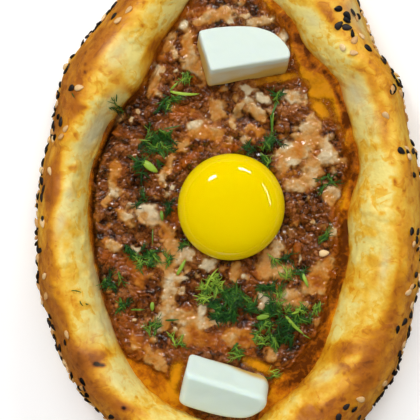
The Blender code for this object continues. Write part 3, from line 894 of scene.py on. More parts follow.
@dataclass
class Ground:
    """The relief of the filling, and where it is soaked with oil, dark, or covered in cheese.

    An oil band is a station and how wide the oil stands along the wall there, and a gap band how
    deep the filling sinks at the wall, in mm, which also sets the painted shade there. The pools hold
    oil, the soaked spots are stained with it, and the hollows are low and darkened with painted
    shade. The last number of each oval of melted cheese is how stained it is, from 0, whitish, to 1,
    soaked orange. Many small whitish ovals are painted glints: specks that stand in for highlights.
    """

    wall: Wall
    level: float = 16.1 * MM
    dome: float = 1.5 * MM
    dome_reach: tuple[float, float, float] = (40 * MM, 66 * MM, 1.0)
    coarse: float = 5.6 * MM
    middle: float = 2.9 * MM
    fine: float = 1.35 * MM
    seed: int = 101
    oil_bands: Table = (
        (2, 3), (3.2, 4.6), (4.3, 9), (5.2, 9.5), (6, 5), (7, 2.6), (8.6, 1.4), (9.2, -2), (26, -2),
        (26.7, 4), (27.6, 7), (28.5, 4), (29.2, -2), (34, -2), (35, 4), (36.5, 6.5), (37.5, 4.5),
        (39.5, 3.4),
    )
    gap_bands: Table = (
        (12, 0.5), (14, 0.2), (18.5, 1.6), (20, 3.6), (22, 3), (24.5, 1.8), (26, 0.6), (30, 0.3), (36, 0.6),
    )
    pools: Table = (
        (16, 44.4, 14, 2.6, 10, 1.1), (34, 33.5, 6.5, 3.2, -50, 1), (-11.5, 44, 4, 1.8, -35, 0.8),
        (-13.5, 50, 7, 1.4, 95, 0.5), (11, -62.4, 9, 2.6, -22, 1), (-20, -66, 9, 3.4, 75, 1),
    )
    soaked_spots: Table = (
        (-18.5, 32, 5.5, 2.6, 10, 0.8), (-12, 31, 3, 2, 0, 0.7), (-40, 24, 5, 2.6, 0, 0.7),
        (-42, 11, 4, 5, 0, 0.7), (-15.5, 14.5, 8, 1.6, 42, 1.1), (-18, -6, 4, 4.5, 0, 1.2),
        (-45, -22, 3, 3, 0, 0.5), (-38, -25, 7, 5.5, 0, 0.7), (-33, -31, 3.6, 7, 0, 0.8),
        (-38, -47, 5, 5, -40, 0.9), (-33, -56, 5, 5, -50, 0.9), (-12, -53, 9, 4.5, 0, 1.1),
        (-16, -42, 4, 2.4, 0, 0.8), (13, -27, 6, 3.6, 0, 0.8), (25, -18, 5, 3, 0, 0.8),
        (36, -30, 5, 6, 0, 1), (6, -54, 7, 5, 0, 1.1), (16, -46.5, 2.4, 2, 0, 0.9), (33, 17, 4, 3, 0, 0.7),
        (33, 6, 3.6, 3.6, 0, 0.7), (-22, 50, 4, 4, 0, 0.5), (-11, 69, 5, 4, 0, 0.9), (-8, 37, 7, 3, 0, 0.5),
        (0, 19.5, 5, 1.6, 0, 1), (22, 32, 4, 2, 0, 0.4),
    )
    hollows: Table = (
        (7, 30.5, 5, 2, -15, 1), (2.6, 30.5, 2, 1.6, 0, 0.7), (0, 38, 2.6, 2.6, 0, 0.8),
        (14, 17, 5, 2.2, -30, 0.9), (20.5, 21.5, 5, 1.4, 0, 0.7), (-44.5, 24.5, 3, 2.4, 30, 0.8),
        (-38.5, 13, 1.4, 1.6, 0, 0.8), (-28.5, -1.2, 5.5, 1.1, 0, 1), (-34, 4.5, 5, 1.5, 0, 0.5),
        (-46.5, -8.8, 2.2, 1.6, 10, 1.3), (-45.5, -28.5, 3, 3.2, 0, 0.7), (-38.5, -13.5, 6, 1.3, 0, 0.5),
        (-28.5, -31.5, 2.6, 4, 0, 0.6), (-16, -36, 4, 4, 0, 0.5), (-22.5, -51, 4.5, 4.5, 0, 0.6),
        (-33, -43.5, 5, 2, 0, 0.4), (20.5, -10.5, 5, 4, 0, 0.8), (30, -14, 8, 3, 0, 0.5),
        (24, -55.5, 6.5, 5, 0, 0.8), (10.5, -58, 5, 3.4, 0, 0.7), (6, -45, 5, 2.6, 0, 0.5),
        (25.5, 28, 5, 3, 0, 0.25), (26, 9, 4.6, 1.8, 20, 0.5), (37.5, 8, 2.6, 3.4, -20, 0.8),
        (40, 23.5, 3.4, 1.6, -45, 0.6), (-19, 68, 3, 4, 0, 0.4), (5, 72, 9, 1.6, 0, 0.6),
        (-23, 43, 2.4, 2, 0, 0.6),
    )
    melted: Table = (
        (23.8, 38.2, 5, 2.5, -20, 0.05), (7.2, 41.3, 3.2, 1.4, -10, 0.05), (8, 35, 4.2, 1.8, -62, 0.12),
        (12, 30.4, 2.4, 1.5, -50, 0.5), (12.9, 37.2, 3.2, 1.3, -25, 0.05), (3.2, 33, 3.6, 1.3, 65, 0.3),
        (1.6, 27.8, 2.6, 0.8, -60, 0.4), (-4.5, 33.5, 3.2, 3.6, 0, 0.55), (29.5, 22.4, 7.6, 3.8, 72, 0.35),
        (36.5, 19.7, 3.4, 2, -40, 0.4), (38.1, 15.6, 3.4, 2.8, 0, 0.1), (20.7, 12.7, 4.6, 2.8, 65, 0.55),
        (23.5, 17.7, 4.2, 2.2, 30, 0.7), (31, 10.4, 4.8, 2.8, 55, 0.32), (24, 5.2, 3.6, 2.4, 0, 0.28),
        (28.2, 5.5, 3.2, 2.3, 0, 0.3), (38.6, 1, 3.4, 4, 0, 0.3), (7.2, 21.9, 2.3, 1.8, -20, 0.2),
        (7.6, 26.3, 1.8, 1.4, 0, 0.55), (11.5, 25, 2, 1.8, 0, 0.75), (19.6, 18.6, 3.2, 1.1, 35, -0.2),
        (23.8, 13.6, 2.2, 0.9, 20, -0.2), (36.2, 16.2, 2.4, 0.8, 20, -0.2),
        (-39.4, -6.2, 4.1, 1.6, -40, 0.35), (-42.9, -17.3, 3.9, 2, -35, 0.5),
        (-31.1, -3, 3.4, 1.5, -10, -0.15), (-29.6, -7.2, 4.4, 2.6, -15, 0.25),
        (-35, -18.6, 2.3, 1.6, -20, -0.15), (-21.8, -15.5, 5.6, 2.4, -65, 0.62),
        (-21.8, -20.7, 3.6, 2.8, 0, 0.3), (-15.8, -20.9, 3.2, 3.2, 0, 0.1), (-24, -24.8, 3.8, 2.4, 0, 0.5),
        (-33.7, -29.2, 6.2, 1.9, -75, 0.78), (-22.8, -35.5, 8.4, 3.2, 88, 0.28),
        (-25.5, -46.1, 3.8, 2.8, 60, 0.22), (-16.2, -44.5, 5, 2.2, -15, 0.38),
        (-7.5, -46.2, 5.6, 1.8, 15, 0.22), (-10, -41.5, 2.6, 2.4, 0, 0.02),
        (-12.3, -51.9, 7, 3.6, -10, 0.85), (-27.8, -60.1, 3.6, 2.6, -40, 0.45),
        (-25.2, -62.8, 3.2, 2.2, -30, 0.55), (-34.5, -53.5, 4, 2.6, -40, 0.85),
        (-7.3, -24, 3.2, 2.2, 10, 0.08), (-18.5, -29.5, 2.8, 0.8, 0, 0), (14.2, -25.5, 5.2, 4.2, 60, 0.55),
        (17.8, -18.6, 3.6, 1.9, 70, 0.22), (21.2, -27.4, 4.2, 2.8, 0, 0.28),
        (35, -25.4, 5.6, 2.6, 40, 0.48), (13.6, -37.4, 2.4, 2.4, 0, 0.05), (22.4, -37.4, 4.4, 2.9, 0, 0.32),
        (32.2, -34.4, 4.4, 1.9, 0, 0.35), (28.2, -39.8, 2.6, 2.1, 0, 0.5), (33.5, -31, 5, 2.4, 10, 0.95),
        (0.6, -51.5, 2.8, 2.6, 60, 0.42), (6.6, -52.6, 5.6, 3.6, 0, 0.8), (16, -57.8, 2.2, 3.4, -20, 0.48),
        (2, -28, 2, 3, 0, 0.55), (-11.6, 48, 6, 2.4, 105, 0.48), (-15.2, 57.5, 5, 2.2, 80, 0.66),
        (-3, 69.4, 5.4, 2.6, 0, 0.4), (12.1, 66.3, 5.8, 1.8, 15, 0.35), (20.8, 60.7, 2.4, 2.6, -60, 0),
        (-8.6, 67, 3.4, 2, 20, 0.7), (-14.4, 51, 4, 1.3, 88, 0.05), (-27.8, 44, 5, 1.9, 72, 0.45),
        (-22.5, 58, 5.5, 1.6, 65, 0.55), (-41.3, 30.6, 2.6, 1.9, 50, 0.3), (-42.4, 11.2, 4.2, 2.4, 80, 0.6),
        (-43.2, 3, 3, 1.1, -70, 0.05), (-46, -1, 2.6, 1.6, 70, 0.45), (-18, 19.6, 3.6, 1.9, 35, 0.48),
        (-22.8, 13, 4.6, 1.6, 62, 0.62), (-12.4, 28, 2.8, 1, 20, -0.15), (-10.4, 24.4, 4.4, 2.6, -20, 0.66),
        (-4.4, 24.4, 3.2, 2, -60, 0.4), (-21.4, 4.2, 1.6, 0.8, 40, -0.1), (-23.6, 9, 1.8, 0.9, 50, 0.15),
        # From here to the end, these small whitish ovals are mostly painted glints: specks that stand in for
        # highlights.
        (-36.4, 29.2, 0.8, 1.6, 0, 0.05), (-33.8, 32.2, 0.9, 1.3, 20, 0.15), (-25.6, 48.3, 1.8, 1, -20, 0),
        (-19.4, 47.6, 1.4, 0.8, -10, 0), (0.4, 66.6, 1.3, 0.8, 0, -0.1), (-11.4, 66, 1.7, 0.8, 10, -0.1),
        (-16.8, 65, 1.3, 1.9, 20, 0.05), (-20.4, 54.4, 1, 2.2, 20, 0.05), (6.2, 68.3, 1.5, 0.9, 0, 0),
        (-20.5, -48.9, 0.6, 0.9, -20, -0.1), (5.4, -28.9, 0.8, 1.1, 0, -0.1),
        (26.3, -22.3, 0.7, 1.3, -10, 0), (-44.6, -17.9, 1.1, 0.9, -30, 0.05),
        (31.6, -8.4, 1.6, 1.1, 0, 0.1), (38.6, -12.6, 1.6, 2, 0, 0.3), (-35.2, -45.2, 1.1, 0.6, 10, 0.15),
        (-35.6, -55.4, 0.7, 1.1, 20, 0.05), (-27, -66.6, 0.9, 0.8, 0, 0), (28.6, 36.6, 0.6, 1.6, 0, 0.2),
    )

    def soaked(self, plan: Array) -> Array:
        """Works out how deep in oil places are: the ragged band along the wall, or the pools where deeper.

        Args:
            plan: the places.

        Returns:
            The depth at each: 0 where dry, about 1 in a pool.
        """
        station, gap = self.wall.facing(plan)
        width = around(self.oil_bands, station) * MM
        width = width * (1 + 0.35 * waves(plan, 7 * MM, self.seed + 50, 2))
        band = np.clip((width - gap) / (6 * MM) + 0.7, 0, 1)
        return np.clip(np.maximum(band, painted(self.pools, plan)), 0, 1.1)

    def folds(self, plan: Array) -> Array:
        """Returns the soft folds of the cheese, from about -1 to 1."""
        return waves(plan, 5.0 * MM, 81, 3)

    def cheese(self, plan: Array) -> tuple[Array, Array]:
        """Works out where cheese lies and how stained it is.

        The ovals, on a plan bent by noise, are summed with scattered scraps and a ragged noise,
        less where oil stands. The stain is the ovals' mean, each weighing as the root of its share.

        Args:
            plan: the places.

        Returns:
            How surely cheese covers each place, over 0.5 where it does, and how stained it is.
        """
        moved = bent(plan, 3.4 * MM, 63, 3, 1.0 * MM)
        total, weight, stain = (np.full(plan.shape[:-1], start) for start in (0, 1e-2, 0.5e-2))
        for *shape, tone in self.melted:
            share = oval(moved, *shape)
            total = total + share
            weight += np.sqrt(share)
            stain += np.sqrt(share) * tone
        rise, name = pebbles(plan, 3.0 * MM, self.seed + 40)
        scraps = rise * eased(name, 0.80, 0.84) * 0.6
        ragged = waves(plan, 3.2 * MM, self.seed + 41, 3) * 0.20 + waves(plan, 11 * MM, self.seed + 43) * 0.22
        cover = total * 1.25 + scraps * (1 - np.clip(total, 0, 1)) + ragged
        return cover - 0.7 * eased(self.soaked(plan), 0.5, 1.0), stain / weight - 0.35 * self.folds(plan)

    def lumps(self, plan: Array) -> tuple[Array, Array]:
        """Works out the lumps of mince: pebbles of three sizes on a bent plan, roughened.

        Args:
            plan: the places.

        Returns:
            Their height over their own level, in metres, and each one's random number.
        """
        moved = bent(plan, 4 * MM, 61, 2, 1.5 * MM)
        coarse, broad = pebbles(moved, self.coarse, self.seed)
        middle, name = pebbles(moved, self.middle, self.seed + 9)
        fine, _ = pebbles(moved, self.fine, self.seed + 18)
        rough = waves(plan, 2.2 * MM, self.seed + 70, 2) * 0.35
        return (coarse * 1.3 + middle * 0.85 + fine * 0.40 + rough) * MM, 0.5 * name + 0.5 * broad

    def swell(self, plan: Array) -> Array:
        """Works out the top without lumps: a low dome with swellings, sunk at oil, hollows and gaps.

        Args:
            plan: the places.

        Returns:
            The height at each, in metres.
        """
        dome = self.dome * np.exp(-((plan / self.dome_reach) ** 2).sum(-1))
        swell = waves(plan, 19 * MM, self.seed + 27, 2) * 0.9 * MM
        station, gap = self.wall.facing(plan)
        gulf = around(self.gap_bands, station) * (1 - eased(gap, 0.3 * MM, 2.6 * MM))
        sunk = 1.9 * MM * self.soaked(plan) + (1.6 * painted(self.hollows, plan) + gulf) * MM
        return self.level + dome + swell - sunk

    def height(self, plan: Array) -> Array:
        """Works out the top: lumps of mince, smoothed and raised where cheese covers them.

        Args:
            plan: the places.

        Returns:
            The height at each, in metres.
        """
        thick = eased(self.cheese(plan)[0], 0.2, 0.9)
        flooded = eased(self.soaked(plan), 0.3, 1.0)
        rise = self.lumps(plan)[0] * (1 - 0.45 * flooded) * (1 - 0.55 * thick)
        return self.swell(plan) + rise + (1.35 + self.folds(plan) * 0.55) * MM * thick - 1.2 * MM


@dataclass(frozen=True)
class MinceAndCheese:
    """Browned mince, dark to reddish, soaked with orange oil, under whitish to orange melted cheese."""

    meat: Table = ((0.08, 32, 10, 0), (0.34, 84, 38, 4), (0.62, 124, 63, 10), (0.98, 164, 104, 52))
    cheese: Table = ((0.02, 210, 190, 152), (0.36, 192, 142, 76), (0.70, 188, 114, 26), (1.0, 150, 74, 2))
    # The colour of the painted shade in crevices, hollows and the gap at the wall.
    dark: Colour = srgb(32, 10, 0)
    oily: Colour = srgb(168, 82, 0)
    # The colour of the fat specks, which are partly painted glints.
    fat_and_glint: Colour = srgb(202, 160, 114)

    def material(self) -> bpy.types.Material:
        """Returns the material.

        Points carry "tone", dark to pinkish, "wet", soaked with oil, "low", how much painted shade
        darkens it in a crevice, "cheese", how surely cheese covers them, and "stain", how orange that is.
        """
        paint = Paint("mince_and_cheese")
        grain = paint.noise(1.2 * MM, 3, 0.65, 0.4) - 0.5
        cloud = paint.noise(4 * MM, 2) - 0.5
        meat = paint.ramp(paint.field("tone") * 0.8 + 0.06 + grain * 1.3 + cloud * 0.6, self.meat)
        wet = paint.field("wet") * 0.95 + cloud * 0.6 + grain * 0.4
        meat = paint.mix(wet.eased(0.15, 1.0) * 0.75, meat, self.oily)
        cover = paint.field("cheese") + grain * 0.35 + cloud * 0.15
        stain = paint.field("stain") + (0.75 - cover).eased(0.0, 0.6) * 0.5 + grain * 0.4 + cloud * 0.6
        share = cover.eased(0.15, 0.85)
        colour = paint.mix(share, meat, paint.ramp(stain, self.cheese))
        # Painted shade: darker where "low" marks crevices, hollows and the gap at the wall, less under
        # cheese.
        colour = paint.mix(paint.field("low").eased(0.2, 1.0) * (1 - share * 0.6) * 0.9, colour, self.dark)
        # Pale specks, partly fat and partly painted glints that stand in for highlights on the wet filling.
        fat_and_glint = paint.noise(1.3 * MM, 2, 0.5, 0.8).eased(0.60, 0.78) * paint.noise(6 * MM, 1).eased(0.36, 0.66)
        tiny = paint.bump(paint.noise(0.8 * MM), 0.12 * MM)
        return paint.finish(
            Base_Color=paint.mix(fat_and_glint * 0.6, colour, self.fat_and_glint),
            Roughness=0.45,
            Normal=paint.bump(paint.noise(2.0 * MM), 0.35 * MM, tiny),
            Specular_IOR_Level=0.2,
            Coat_Weight=1.0,
            Coat_IOR=1.65,
            Coat_Roughness=0.10,
        )


@dataclass(frozen=True)
class Oil:
    """Spiced oil and melted butter: amber over the mince, dark brown where the wall shades it."""

    amber: Table = ((0.05, 222, 144, 0), (0.45, 190, 102, 0), (1.0, 96, 44, 2))

    def material(self) -> bpy.types.Material:
        """Returns the material. Points carry "depth", from 0 to 1, and "shade", 1 where it is darkest."""
        paint = Paint("amber_oil")
        cloud = paint.noise(4 * MM, 3, 0.6, 1.2) - 0.5
        fleck = paint.noise(1.3 * MM, 3, 0.6) - 0.5
        depth = paint.field("depth")
        tone = paint.field("shade") + cloud * 1.5 + fleck * 0.9 + (1 - depth.eased(0.0, 1.3)) * 0.5
        return paint.finish(
            Base_Color=paint.ramp(tone, self.amber),
            Roughness=0.3,
            Normal=paint.bump(paint.noise(1.8 * MM), 0.16 * MM, paint.bump(paint.noise(5 * MM), 0.5 * MM)),
            Specular_IOR_Level=0.2,
            Coat_Weight=0.9,
            Coat_Roughness=0.05,
            Alpha=(depth + fleck * 0.7).eased(-0.05, 1.8) * 0.93,
        )


@dataclass
class Filling:
    """Mince up to the rim's inner edge, with cheese melted over it and oil standing along the wall.

    The oil shades are ovals that darken the oil, or brighten it where their strength is below 0.
    """

    boat: Boat
    ground: Ground
    grid: tuple[int, int] = (392, 232)
    oil_grid: tuple[int, int] = (230, 136)
    half: tuple[float, float] = (49 * MM, 84 * MM)
    past_wall: float = 1.025
    oil_level: float = 16.75 * MM
    oil_shades: Table = (
        (40.6, 38.5, 9, 1.3, -66, 0.85), (43, 28.5, 4, 1.6, -72, 0.8), (44.8, 14, 5.5, 2.8, 88, 1.1),
        (46, 3, 6, 1.2, 90, 0.5), (42.5, -15, 9, 2.8, 88, 1), (40, -29, 8, 2.2, 75, 0.8),
        (36, -43, 9, 2.4, 65, 0.8), (29.5, -57, 9, 5, 60, 0.9), (22, -63, 6, 3, 30, 0.8),
        (26, 59, 9, 3, -58, 0.75), (32, 48, 5, 2.2, -25, 0.65), (36.6, 32, 0.7, 2, -15, 0.5),
        (-11.5, 44, 4, 2.4, -35, 1), (-29, -64, 9, 2.6, -48, 0.6), (34.5, 38, 7, 4, -62, -0.45),
        (16, 44.4, 13, 2.4, 10, -0.8), (34, 33.5, 6, 3, -50, -0.4), (21.5, -69.5, 6, 3, 40, 0.8),
        (11, -62.4, 9, 2.2, -22, -0.9), (-20, -66, 10, 2.4, 75, -0.7),
    )

    def plan(self, rows: int, columns: int) -> Array:
        """A grid over the plan, reaching a little into the wall.

        A square is rounded off to a disc, x = u * sqrt(1 - v^2 / 2) and likewise y, drawn out to
        an ellipse, and each point's distance from the middle is then scaled so that the
        ellipse's edge falls on the rim's inner edge.

        Args:
            rows: how many points it has northwards.
            columns: how many it has eastwards.

        Returns:
            The points, at height 0.
        """
        v, u = np.meshgrid(np.linspace(-1, 1, rows), np.linspace(-1, 1, columns), indexing="ij")
        east = u * np.sqrt(1 - v * v / 2) * self.half[0]
        north = v * np.sqrt(1 - u * u / 2) * self.half[1]
        turn = np.arctan2(north, east)
        ellipse = 1 / np.hypot(np.cos(turn) / self.half[0], np.sin(turn) / self.half[1])
        scale = self.ground.wall.reached(turn) / ellipse * self.past_wall
        middle = self.ground.wall.middle
        return on_plane(east * scale + middle[0], north * scale + middle[1])

    def under_yolk(self, plan: Array) -> Array:
        """Works out the room under the yolk.

        Args:
            plan: the places.

        Returns:
            The height just below its underside, and a great height away from it.
        """
        low, high = (np.array(corner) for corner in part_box("egg_yolk"))
        centre, radius = (low + high)[:2] / 2, (high - low)[0] / 2
        out = np.hypot(plan[..., 0] - centre[0], plan[..., 1] - centre[1]) / radius
        bowl = low[2] + YOLK_BOWL * (1 - np.sqrt(np.clip(1 - out**2, 0, 1)))
        return np.where(out < 1, bowl - 0.4 * MM, 1.0)

    def fields(self, points: Array, tones: Array | None = None) -> dict[str, Array]:
        """Works out what the finish reads.

        Args:
            points: the piece's points.
            tones: how light the crumb that each point belongs to is, if to any.

        Returns:
            The numbers at the points, by name.
        """
        plan, ground = points * (1, 1, 0), self.ground
        lumps, name = ground.lumps(plan)
        cover, stain = ground.cheese(plan)
        soaked = ground.soaked(plan)
        station, gap = ground.wall.facing(plan)
        wet = 0.8 * soaked + painted(ground.soaked_spots, plan) + waves(plan, 12 * MM, 71, 2) * 0.35
        wet += 0.5 * eased(around(ground.oil_bands, station) * MM - gap, -9 * MM, 0)
        # Painted shade: the filling darkens along the wall's gap, in hollows and between lumps, and less
        # where oil stands.
        shade = around(ground.gap_bands, station) / 3 * (1 - eased(gap, 0.8 * MM, 3.6 * MM))
        low = 0.75 * painted(ground.hollows, plan) + 0.75 * (1 - eased(lumps, 0.2 * MM, 1.7 * MM)) + shade
        low = low * (1 - 0.85 * eased(soaked, 0.1, 0.5))
        tone = name + waves(plan, 8 * MM, 72, 2) * 0.25
        tone = tone if tones is None else 0.4 * tone + 0.6 * tones
        return {"tone": tone, "wet": wet, "low": low, "cheese": cover, "stain": stain}

    def build_top(self) -> bpy.types.Object:
        """Builds the body of mince and cheese. Its relief is Ground's."""
        plan = self.plan(*self.grid)
        top = np.minimum(self.ground.height(plan), self.under_yolk(plan))
        shell = sheet(lifted(plan, top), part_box("filling")[0][2] + 0.4 * MM)
        self.points = [shell[0]]
        fields = self.fields(shell[0])
        return add_piece("mince_and_cheese", shell, self.finish, fields, ("filling",))

    def build_oil(self) -> bpy.types.Object:
        """Builds the oil: a level sheet, seen wherever the mince lies lower than it."""
        plan, ground = self.plan(*self.oil_grid), self.ground
        creep = 0.25 * MM * waves(plan, 8 * MM, 91)
        top = self.oil_level + creep - 6.0 * MM * (1 - eased(ground.soaked(plan), 0.02, 0.15))
        top = np.minimum(top, self.under_yolk(plan) - 0.5 * MM)
        shell = sheet(lifted(plan, top), ground.level - 9 * MM)
        plan = shell[0] * (1, 1, 0)
        shore = np.clip((ground.soaked(plan) - 0.05) / 0.95, 0, 1)
        # Painted shade: the oil darkens towards the wall.
        wall_shade = 0.5 * (1 - eased(ground.wall.facing(plan)[1], 0.2 * MM, 4.6 * MM))
        fields = {
            "depth": (shell[0][:, 2] - ground.height(plan)) / (1.3 * MM) * shore,
            "shade": painted(self.oil_shades, plan) + wall_shade * (0.7 + waves(plan, 7 * MM, 92, 2)),
        }
        stands_for = ("butter_pool_right", "butter_pool_left")
        return add_piece("oil", shell, Oil().material(), fields, stands_for)

    def scatter(self, count: int, reach: float, seed: int) -> Array:
        """Scatters places over the plan, thinned where cheese or oil lies and clear of yolk and butter.

        Args:
            count: how many places are tried.
            reach: the share of the way to the edge that they reach.
            seed: chooses the places.

        Returns:
            The places that are left.
        """
        chance, ground = np.random.default_rng(seed), self.ground
        at = chance.uniform(0, self.boat.count, count)
        out = np.sqrt(chance.uniform(0, 1, count)) * reach
        plan = ground.wall.middle + (self.boat.inner(at) - ground.wall.middle) * out[:, None]
        plan = on_plane(*plan.T)
        wanted = (ground.cheese(plan)[0] < chance.uniform(0.0, 0.5, count)) & (self.under_yolk(plan) > 0.5)
        for filled in (ground.soaked(plan), painted(ground.hollows, plan)):
            wanted &= filled < chance.uniform(0.1, 0.6, count)
        for pat in ("butter_pat_top", "butter_pat_bottom"):
            low, high = (np.array(corner)[:2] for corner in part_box(pat))
            wanted &= ~((plan[:, :2] > low) & (plan[:, :2] < high)).all(-1)
        return plan[wanted]

    def build_crumbs(
        self, name: str, tried: int, sizes: tuple[float, float], grid: tuple[int, int], seed: int
    ) -> bpy.types.Object:
        """Builds loose crumbs of mince, sunk to half in the body: lumpy balls of random size and turn.

        Args:
            name: the piece's name.
            tried: how many crumbs are tried.
            sizes: the smallest and largest half length, in metres.
            grid: the rows and columns of one crumb.
            seed: chooses the crumbs.

        Returns:
            The piece.
        """
        plan = self.scatter(tried, 0.975, seed)
        count = len(plan)
        chance = np.random.default_rng(seed + 1)
        half = chance.uniform(*sizes, count)
        shape = half[:, None] * np.stack((np.ones(count), *chance.uniform(0.45, 0.85, (2, count))), -1)
        own = ball(*grid) * half[:, None, None, None] + chance.uniform(-1, 1, (count, 1, 1, 3))
        size = 2.2 * float(np.mean(sizes))
        bulge = waves(own, size * 0.62, seed, 3) * 0.50 + pebbles(own, size * 0.36, seed + 3)[0] * 0.30
        local = ball(*grid) * shape[:, None, None] * (0.9 + bulge)[..., None]
        up, heading = chance.normal(size=(count, 3)) + (0, 0, 1.5), chance.normal(size=(count, 3))
        height = self.ground.height(plan) + half * chance.uniform(-0.55, -0.05, count)
        shell = closed_shell(placed(local, up, heading, lifted(plan, height)))
        tones = np.repeat(chance.beta(1.4, 1.6, count), grid[0] * grid[1] + 2)
        fields = self.fields(shell[0], tones)
        # Crumbs take less of the painted crevice shade.
        fields["low"] = fields["low"] * 0.4
        self.points.append(shell[0])
        return add_piece(name, shell, self.finish, fields)

    def build(self) -> None:
        """Builds the mince and cheese, its crumbs and the oil."""
        self.finish = MinceAndCheese().material()
        self.build_top()
        self.build_crumbs("mince_lumps", 520, (1.4 * MM, 2.8 * MM), (13, 18), 201)
        self.build_crumbs("mince_crumbs", 2600, (0.45 * MM, 1.0 * MM), (5, 8), 301)
        self.build_oil()


# ---- Yolk and butter ----


@dataclass(frozen=True)
class Yolk:
    """A whole raw yolk: a broad dome over a shallow bowl, round in plan, taut and wet."""

    rows: int = 60
    columns: int = 128
    flatness: float = 2.35
    yellow: Colour = srgb(238, 211, 0)
    rim: Colour = srgb(234, 202, 0)

    def material(self) -> bpy.types.Material:
        """Returns the finish: clear yellow with a wet skin."""
        paint = Paint("raw_yolk")
        return paint.finish(
            Base_Color=paint.mix(paint.noise(16 * MM, 1), self.yellow, self.rim),
            Roughness=0.5,
            Specular_IOR_Level=0.0,
            Coat_Weight=0.9,
            Coat_Roughness=0.03,
            Subsurface_Weight=0.3,
            Subsurface_Radius=(1.0, 0.7, 0.05),
            Subsurface_Scale=4 * MM,
        )

    def build(self) -> bpy.types.Object:
        """Builds the yolk: across^n + height^n = 1 turned round its axis, with n the flatness."""
        low, high = (np.array(corner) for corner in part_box("egg_yolk"))
        centre, radius = (low + high) / 2, (high - low)[0] / 2
        tilt = np.linspace(-0.5, 0.5, self.rows + 2)[1:-1, None] * math.pi
        turn = np.linspace(0, 2 * math.pi, self.columns, endpoint=False)[None]
        power, widest = 2 / self.flatness, low[2] + YOLK_BOWL
        rise = np.abs(np.sin(tilt)) ** power
        height = widest + np.where(tilt > 0, rise * (high[2] - widest), -rise * YOLK_BOWL)
        uneven = 1 + 0.004 * np.sin(2 * turn + 0.5) + 0.003 * np.sin(3 * turn + 2)
        across = np.cos(tilt) ** power * radius * uneven
        x, y = centre[0] + across * np.cos(turn), centre[1] + across * np.sin(turn)
        shell = closed_shell(np.stack((x, y, np.broadcast_to(height, x.shape)), -1)[None])
        return add_piece("yolk", shell, self.material(), None, ("egg_yolk",))


@dataclass
class Pat:
    """A cut pat of cold butter that starts to melt: an outline drawn up, softened at the edges and leaned.

    Each row of the outline is a corner and its rounding in mm, clockwise. The middle is in mm and
    the turns in degrees, and the ovals of melt are where the butter turns yellow.
    """

    name: str
    stands_for: str
    outline: Table
    middle: tuple[float, float, float]
    turned: tuple[float, float, float]
    melt: Table
    # Each pat's white is lighter or darker than the other's as painted light, for how the light falls on it.
    white: Colour
    side_melt_and_shade: float
    softening: float
    thickness: float = 14 * MM
    columns: int = 160
    steps: int = 8
    melted: Colour = srgb(204, 168, 84)

    def material(self) -> bpy.types.Material:
        """Returns the finish: waxy white. The points' "melt" is 1 where it turns yellow and clear;
        on the sides that is partly painted shade.
        """
        paint = Paint(f"butter_{self.name}")
        melt = paint.field("melt") + (paint.noise(5 * MM) - 0.5) * 0.35
        return paint.finish(
            Base_Color=paint.mix(melt.eased(0.15, 0.95), self.white, self.melted),
            Roughness=0.5,
            Normal=paint.bump(paint.noise(6 * MM), 0.25 * MM),
            Subsurface_Weight=0.55,
            Subsurface_Radius=(1.0, 0.9, 0.6),
            Subsurface_Scale=3 * MM,
            Specular_IOR_Level=0.3,
        )

    def rounded(self) -> Array:
        """Returns the outline with rounded corners, anticlockwise, as evenly spaced points.

        Each corner gives way to the curve (1 - t)^2 a + 2 t (1 - t) c + t^2 b, where c is the corner and
        a and b lie on its two edges, as far from it as its rounding or at most half the edge.
        """
        ring = np.array(self.outline[::-1]) * MM
        corners, rounding = ring[:, :2], ring[:, 2:]
        ends = []
        for step in (1, -1):
            edge = np.roll(corners, step, 0) - corners
            length = np.linalg.norm(edge, axis=1, keepdims=True)
            ends.append(corners + edge * np.minimum(rounding / length, 0.5))
        share = shares(0, 1, self.steps)
        curve = (1 - share) ** 2 * ends[0] + 2 * share * (1 - share) * corners + share**2 * ends[1]
        ring = curve.transpose(1, 0, 2).reshape(-1, 2)
        ring = np.concatenate((ring, ring[:1]))
        length = np.concatenate(([0], np.cumsum(np.linalg.norm(np.diff(ring, axis=0), axis=1))))
        at = np.linspace(0, length[-1], self.columns, endpoint=False)
        return np.stack([np.interp(at, length, ring[:, axis]) for axis in (0, 1)], -1)

    def rings(self) -> Array:
        """Returns rings of points that go in under the base, up the side and in over the top."""
        edge, half = self.rounded(), self.thickness / 2
        bend = np.radians(np.linspace(0, 90, self.steps))
        close = self.softening * (1 - np.sin(bend))
        lift = half - self.softening * (1 - np.cos(bend))
        side = (2 * np.linspace(0, 1, self.steps + 1)[1:-1] - 1) * (half - self.softening)
        inset = np.concatenate((close, np.zeros(len(side)), close[::-1]))
        level = np.concatenate((-lift, side, lift[::-1]))
        moved = edge * (1 - inset[:, None, None] / np.abs(edge).max(0))
        wall = np.concatenate((moved, np.broadcast_to(level[:, None, None], (*moved.shape[:2], 1))), -1)
        cap, flat = shares(0.06, 0.94, self.steps + 1), self.softening / np.abs(edge).max(0)
        flat = np.concatenate((edge * (1 - flat), np.full((len(edge), 1), half)), -1)
        widths = cap * (1, 1, 0)
        return np.concatenate((flat * (widths - UP), wall, flat * (widths[::-1] + UP)))

    def build(self) -> bpy.types.Object:
        """Builds the pat from its rings, with a slightly uneven skin."""
        local = self.rings()
        local = local + normals_of(local) * (waves(local, 9 * MM, 17, 2) * 0.28 * MM)[..., None]
        turn = mathutils.Euler([math.radians(angle) for angle in self.turned]).to_matrix()
        shell = closed_shell((local @ np.array(turn).T + np.array(self.middle) * MM)[None])
        depth = (self.thickness / 2 - spread(local[..., 2])) / self.thickness
        # Melt and painted shade: the sides turn yellow-tan, partly as melting butter, partly as shade and the
        # filling's reflection.
        side = eased(depth, 0.05, 0.30) * self.side_melt_and_shade
        base = 0.6 * (1 - eased(shell[0][:, 2], 17.5 * MM, 21.5 * MM))
        fields = {"melt": side + base + painted(self.melt, shell[0])}
        return add_piece(self.name, shell, self.material(), fields, (self.stands_for,))


